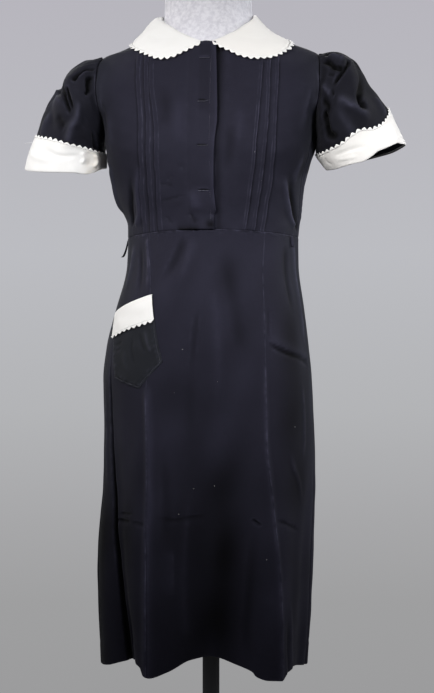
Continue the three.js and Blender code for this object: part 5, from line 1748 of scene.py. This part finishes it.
def stitch_row(surface, place, out_at, pitch, length, width):
    """The points of a row of stitches along a line on a surface, stitch by stitch."""
    fine = np.linspace(0, 1, 3001)
    u, v = place(fine)
    total = lengths_along(surface(u, v, out_at(u, v)))
    count = max(1, int(total[-1] / pitch))
    t = np.interp((np.arange(count) + 0.5) * total[-1] / count, total, fine)
    u, v = place(t)
    height = out_at(u, v)
    middle = surface(u, v, height)
    normal = surface(u, v, height + 1) - middle
    ahead = place(np.clip(t + fine[1], 0, 1))
    behind = place(np.clip(t - fine[1], 0, 1))
    along = surface(*ahead, out_at(*ahead)) - surface(*behind, out_at(*behind))
    along /= np.linalg.norm(along, axis=-1, keepdims=True)
    beside = np.cross(normal, along)
    points = [
        middle + along * a * length + beside * b * width + normal * c * width for a, b, c in STITCH_POINTS
    ]
    return np.stack(points, 1).reshape(-1, 3)


def stitches(name, rows, material, slot):
    """One piece from rows of stitches."""
    points = np.concatenate(rows)
    firsts = range(0, len(points), len(STITCH_POINTS))
    faces = [[first + corner for corner in face] for first in firsts for face in STITCH_FACES]
    piece = mesh_object(name, points, faces, material, points[:, [0, 2]], plain_marks(len(points)))
    return keep(piece, slot)


def lint():
    """A few pale specks of lint on the dress."""

    def fibre(angle, z, t):
        return angle + 0.6 * t, z + 0.8 * t

    def height(folds, u, v):
        return 1.6 + fold_heights(folds, u, v, degree_length(v))

    rows = []
    places = [(on_skirt, SKIRT_FOLDS, SKIRT_LINT), (on_front, BODICE_FOLDS, BODICE_LINT)]
    for surface, folds, specks in places:
        for angle, z, length in specks:
            line = partial(fibre, angle, z)
            rows.append(stitch_row(surface, line, partial(height, folds), 9, length, 0.45 * length))
    return stitches("lint", rows, BRAID, "white_cotton")


def stray_thread():
    """A loose end of thread that stands off the right cuff."""
    angle, below, run, reach = STRAY_THREAD
    start = cuff_top("right", angle) + below

    def place(t):
        return angle + 0 * t, start + run * t

    def away(u, v):
        return CUFF_OUT + 0.5 + reach * (v - start) / run

    row = stitch_row(on_sleeve("right"), place, away, 1.2, 2.2, 1.1)
    return stitches("stray_thread", [row], BRAID, "white_cotton")


def black_stitches():
    """The stitches round the pocket and down the overlap."""
    half = POCKET_HALF - 2.5
    foot = (0, POCKET_SIDE + POCKET_POINT - 3.4)
    corners = np.array([(-half, 1), (-half, POCKET_SIDE - 1), foot, (half, POCKET_SIDE - 1), (half, 1)])
    lengths = lengths_along(corners)

    def pocket_outline(t):
        at = t * lengths[-1]
        return pocket_place(*(np.interp(at, lengths, corners[:, axis]) for axis in (0, 1)))

    def lap_line(t):
        z = mix(1038, 1318, t)
        return angle_at(8.4 + 0 * z, z), z

    def lap_height(u, v):
        return LAYER + 0.75 + fold_heights(BODICE_FOLDS, u, v, degree_length(v))

    rows = [
        stitch_row(on_skirt, pocket_outline, level(1.5), 3, 2.2, 0.45),
        stitch_row(on_body, lap_line, lap_height, 3, 2.2, 0.4),
    ]
    return stitches("stitches_black", rows, THREAD, "black_cotton")


def buttonhole_threads():
    """The close stitches along each buttonhole's lower lip, which sags where the slit gapes."""

    def lip(middle, gape, t):
        z = middle - 0.9 + gape * 0.8 * ease(t, 0.6, 1.1)
        return angle_at(mix(*BUTTONHOLE_ENDS, t), z), z

    height = level(LAYER + 1.3)
    rows = [stitch_row(on_body, partial(lip, *hole), height, 0.8, 1.1, 0.8) for hole in BUTTONHOLES]
    return stitches("buttonhole_threads", rows, THREAD, "black_cotton")


def white_stitches():
    """The stitches inside the braided edges of the collar, the cuffs and the pocket's band."""
    sizes = (3, 2.1, 0.4)

    def collar_line(t):
        angle = mix(COLLAR_END + 1, 359 - COLLAR_END, t)
        edge, top = collar_edge_z(angle), collar_top_z(angle)
        return angle, edge + np.minimum(3, 0.4 * (top - edge))

    def collar_height(u, v):
        edge, top = collar_edge_z(u), collar_top_z(u)
        return collar_out(u, (v - edge) / (top - edge)) + 0.05

    def cuff_line(side_name, t):
        angle, top = cuff_edge(side_name, t)
        return angle, top + 3 / SLEEVE_LENGTH

    def cuff_height(side_name, u, t):
        return cuff_relief(side_name, u, t) + 0.1

    def band_line(t):
        return pocket_place(mix(3 - POCKET_HALF, POCKET_HALF - 3, t), POCKET_BAND - 3 + 0 * t)

    rows = [stitch_row(on_body, collar_line, collar_height, *sizes)]
    for side_name in SIDE:
        line, height = partial(cuff_line, side_name), partial(cuff_height, side_name)
        rows.append(stitch_row(on_sleeve(side_name), line, height, *sizes))
    rows.append(stitch_row(on_skirt, band_line, level(BAND_OUT), *sizes))
    return stitches("stitches_white", rows, BRAID, "white_cotton")


# ---------------------------------------------------------------- the pieces

front_right = bodice_front("right", 180, 174)
front_left = bodice_front("left", 140, 164)
back = bodice_back(120, 104)
skirt_front, side_right, side_left, back_right, back_left, skirt_back = skirt()
sleeve_right, sleeve_left = sleeve("right", 110, 160), sleeve("left", 110, 160)
cuff_right, cuff_left = cuff("right", 34, 200), cuff("left", 34, 200)
collar_piece = collar(44, 330)
patch, band = pocket_patch(64, 56), pocket_band(26, 52)
edgings = braids()
loop_right = belt_loop("belt_loop_right", -91, 1024, 27, 11)
loop_left = belt_loop("belt_loop_left", 68, 1026, 15, 4)
form = dress_form()
pole, base = stand()
threads = buttonhole_threads()
specks, stray = lint(), stray_thread()
seams_black, seams_white = black_stitches(), white_stitches()


# ---------------------------------------------------------------- floor, backdrop, lights and camera

FLOOR_CLEAR = 0.55  # the floor is whole up to here, and fades away to its edge
FLOOR_RADIUS = 1.25
FLOOR_BELOW = 0.4  # millimetres under the base, so that the two don't coincide
FLOOR_GLOW = 0.24  # evens out the light over the pale floor
AMBIENT = 0.12  # the studio's glow on the object, as a share of how bright the backdrop looks

# the backdrop's greys, from straight down (0) through the horizon (0.5) to straight up (1)
BACKDROP = [
    (0.0, (0.33, 0.33, 0.335)), (0.28, (0.33, 0.33, 0.335)), (0.34, (0.345, 0.345, 0.35)),
    (0.39, (0.385, 0.385, 0.395)), (0.46, (0.45, 0.455, 0.47)), (0.56, (0.50, 0.505, 0.535)),
    (0.72, (0.475, 0.465, 0.51)), (1.0, (0.44, 0.44, 0.47)),
]

# each light's place, what it points at, its width and height, power, colour and spread
LIGHTS = {
    "key": ((-1.3, -2.2, 2.3), (-0.05, 0, 1.1), (1.5, 0.25), 3.3, (1, 0.99, 0.98), 27),
    "fill": ((1.6, -2.1, 1.9), (0, 0, 0.98), (1.3, 0.25), 2.3, (0.97, 0.98, 1), 27),
    "back": ((-0.4, 2.4, 2.0), (0, 0, 1.0), (2.2, 1.4), 22, (0.97, 0.99, 1), 100),
    "left": ((2.6, 0.9, 1.9), (0, 0, 1.15), (0.9, 1.2), 3.0, (0.97, 0.98, 1), 34),
    "right": ((-2.6, 0.9, 1.9), (0, 0, 1.22), (0.9, 1.2), 1.7, (1, 0.99, 0.98), 27),
}

CAMERA_AWAY = 2.5
CAMERA_TURN = math.radians(5)  # how far round from the front it stands, towards the wearer's left
CAMERA_Z = 0.854
CAMERA_ASIDE = 0.0096  # the view's middle lies this far to the wearer's left of the stand
CAMERA_LENS = 81.17


def floor():
    """A pale floor that fades into the backdrop away from the stand."""
    rings = np.linspace(0.02, FLOOR_RADIUS, 24) / MM
    turns = np.linspace(0, 2 * math.pi, 96, endpoint=False)
    flat = np.stack([np.cos(turns), np.sin(turns), 0 * turns], -1)
    points = np.concatenate([flat * radius - [0, 0, FLOOR_BELOW] for radius in rings])
    faces = grid_faces(numbered(len(rings), len(turns)), True)
    material = bpy.data.materials.new("floor")
    tree = node_tree(material)
    away = add_node(tree, "ShaderNodeVectorMath", {"operation": "LENGTH"}, i0=object_place(tree))
    fade = {"Value": away.outputs["Value"], "From Min": FLOOR_CLEAR, "From Max": FLOOR_RADIUS}
    clear = add_node(tree, "ShaderNodeMapRange", {"interpolation_type": "SMOOTHSTEP"}, **fade)
    looks = {
        "Base Color": (0.7, 0.7, 0.71, 1), "Roughness": 0.9,
        "Emission Color": (0.97, 0.98, 1, 1), "Emission Strength": FLOOR_GLOW,
    }
    pale = add_node(tree, "ShaderNodeBsdfPrincipled", None, **looks).outputs[0]
    through = tree.nodes.new("ShaderNodeBsdfTransparent").outputs[0]
    both = add_node(tree, "ShaderNodeMixShader", None, i0=clear.outputs[0], i1=pale, i2=through)
    finish_tree(tree, both)
    mesh_object("floor", points, faces, material)


def backdrop():
    """A plain grey studio all round, a little darker low down."""
    world = bpy.data.worlds.new("studio")
    bpy.context.scene.world = world
    tree = node_tree(world)
    place = add_node(tree, "ShaderNodeTexCoord").outputs["Generated"]
    height = add_node(tree, "ShaderNodeSeparateXYZ", None, Vector=place).outputs["Z"]
    share = math_node(tree, "MULTIPLY_ADD", height, 1.0, 0.5)
    ramp = add_node(tree, "ShaderNodeValToRGB", None, i0=share)
    stops = ramp.color_ramp.elements
    for place, _ in BACKDROP[1:-1]:
        stops.new(place)
    for stop, (_, colour) in zip(stops, BACKDROP):
        stop.color = (*colour, 1)
    seen, glow = (
        add_node(tree, "ShaderNodeBackground", None, Color=ramp.outputs[0], Strength=strength).outputs[0]
        for strength in (1.0, AMBIENT)
    )
    direct = tree.nodes.new("ShaderNodeLightPath").outputs["Is Camera Ray"]
    both = add_node(tree, "ShaderNodeMixShader", None, i0=direct, i1=glow, i2=seen)
    finish_tree(tree, both, "ShaderNodeOutputWorld")


def put_in_scene(name, data, place, turned):
    """A lamp or a camera at its place, turned by three angles."""
    made = bpy.data.objects.new(name, data)
    bpy.context.scene.collection.objects.link(made)
    made.location = place
    made.rotation_euler = turned
    return made


def area_light(name, place, target, size, power, colour, spread):
    """A soft light at a place, turned towards its target."""
    light = bpy.data.lights.new(name, "AREA")
    light.shape = "RECTANGLE"
    light.size, light.size_y = size
    light.energy = power
    light.color = colour
    light.spread = math.radians(spread)
    x, y, z = np.array(target) - np.array(place)
    put_in_scene(name, light, place, (math.atan2(math.hypot(x, y), -z), 0, math.atan2(x, -y) + math.pi))


def camera():
    """The view from the front, a little from the wearer's left."""
    data = bpy.data.cameras.new("camera")
    data.lens = CAMERA_LENS
    data.sensor_width = 36
    data.sensor_fit = "AUTO"
    sine, cosine = math.sin(CAMERA_TURN), math.cos(CAMERA_TURN)
    place = (
        CAMERA_AWAY * sine + CAMERA_ASIDE * cosine,
        -CAMERA_AWAY * cosine + CAMERA_ASIDE * sine,
        CAMERA_Z,
    )
    bpy.context.scene.camera = put_in_scene("camera", data, place, (math.pi / 2, 0, CAMERA_TURN))


floor()
backdrop()
camera()
for light_name, settings in LIGHTS.items():
    area_light(light_name, *settings)
bpy.context.scene.view_settings.view_transform = "Standard"
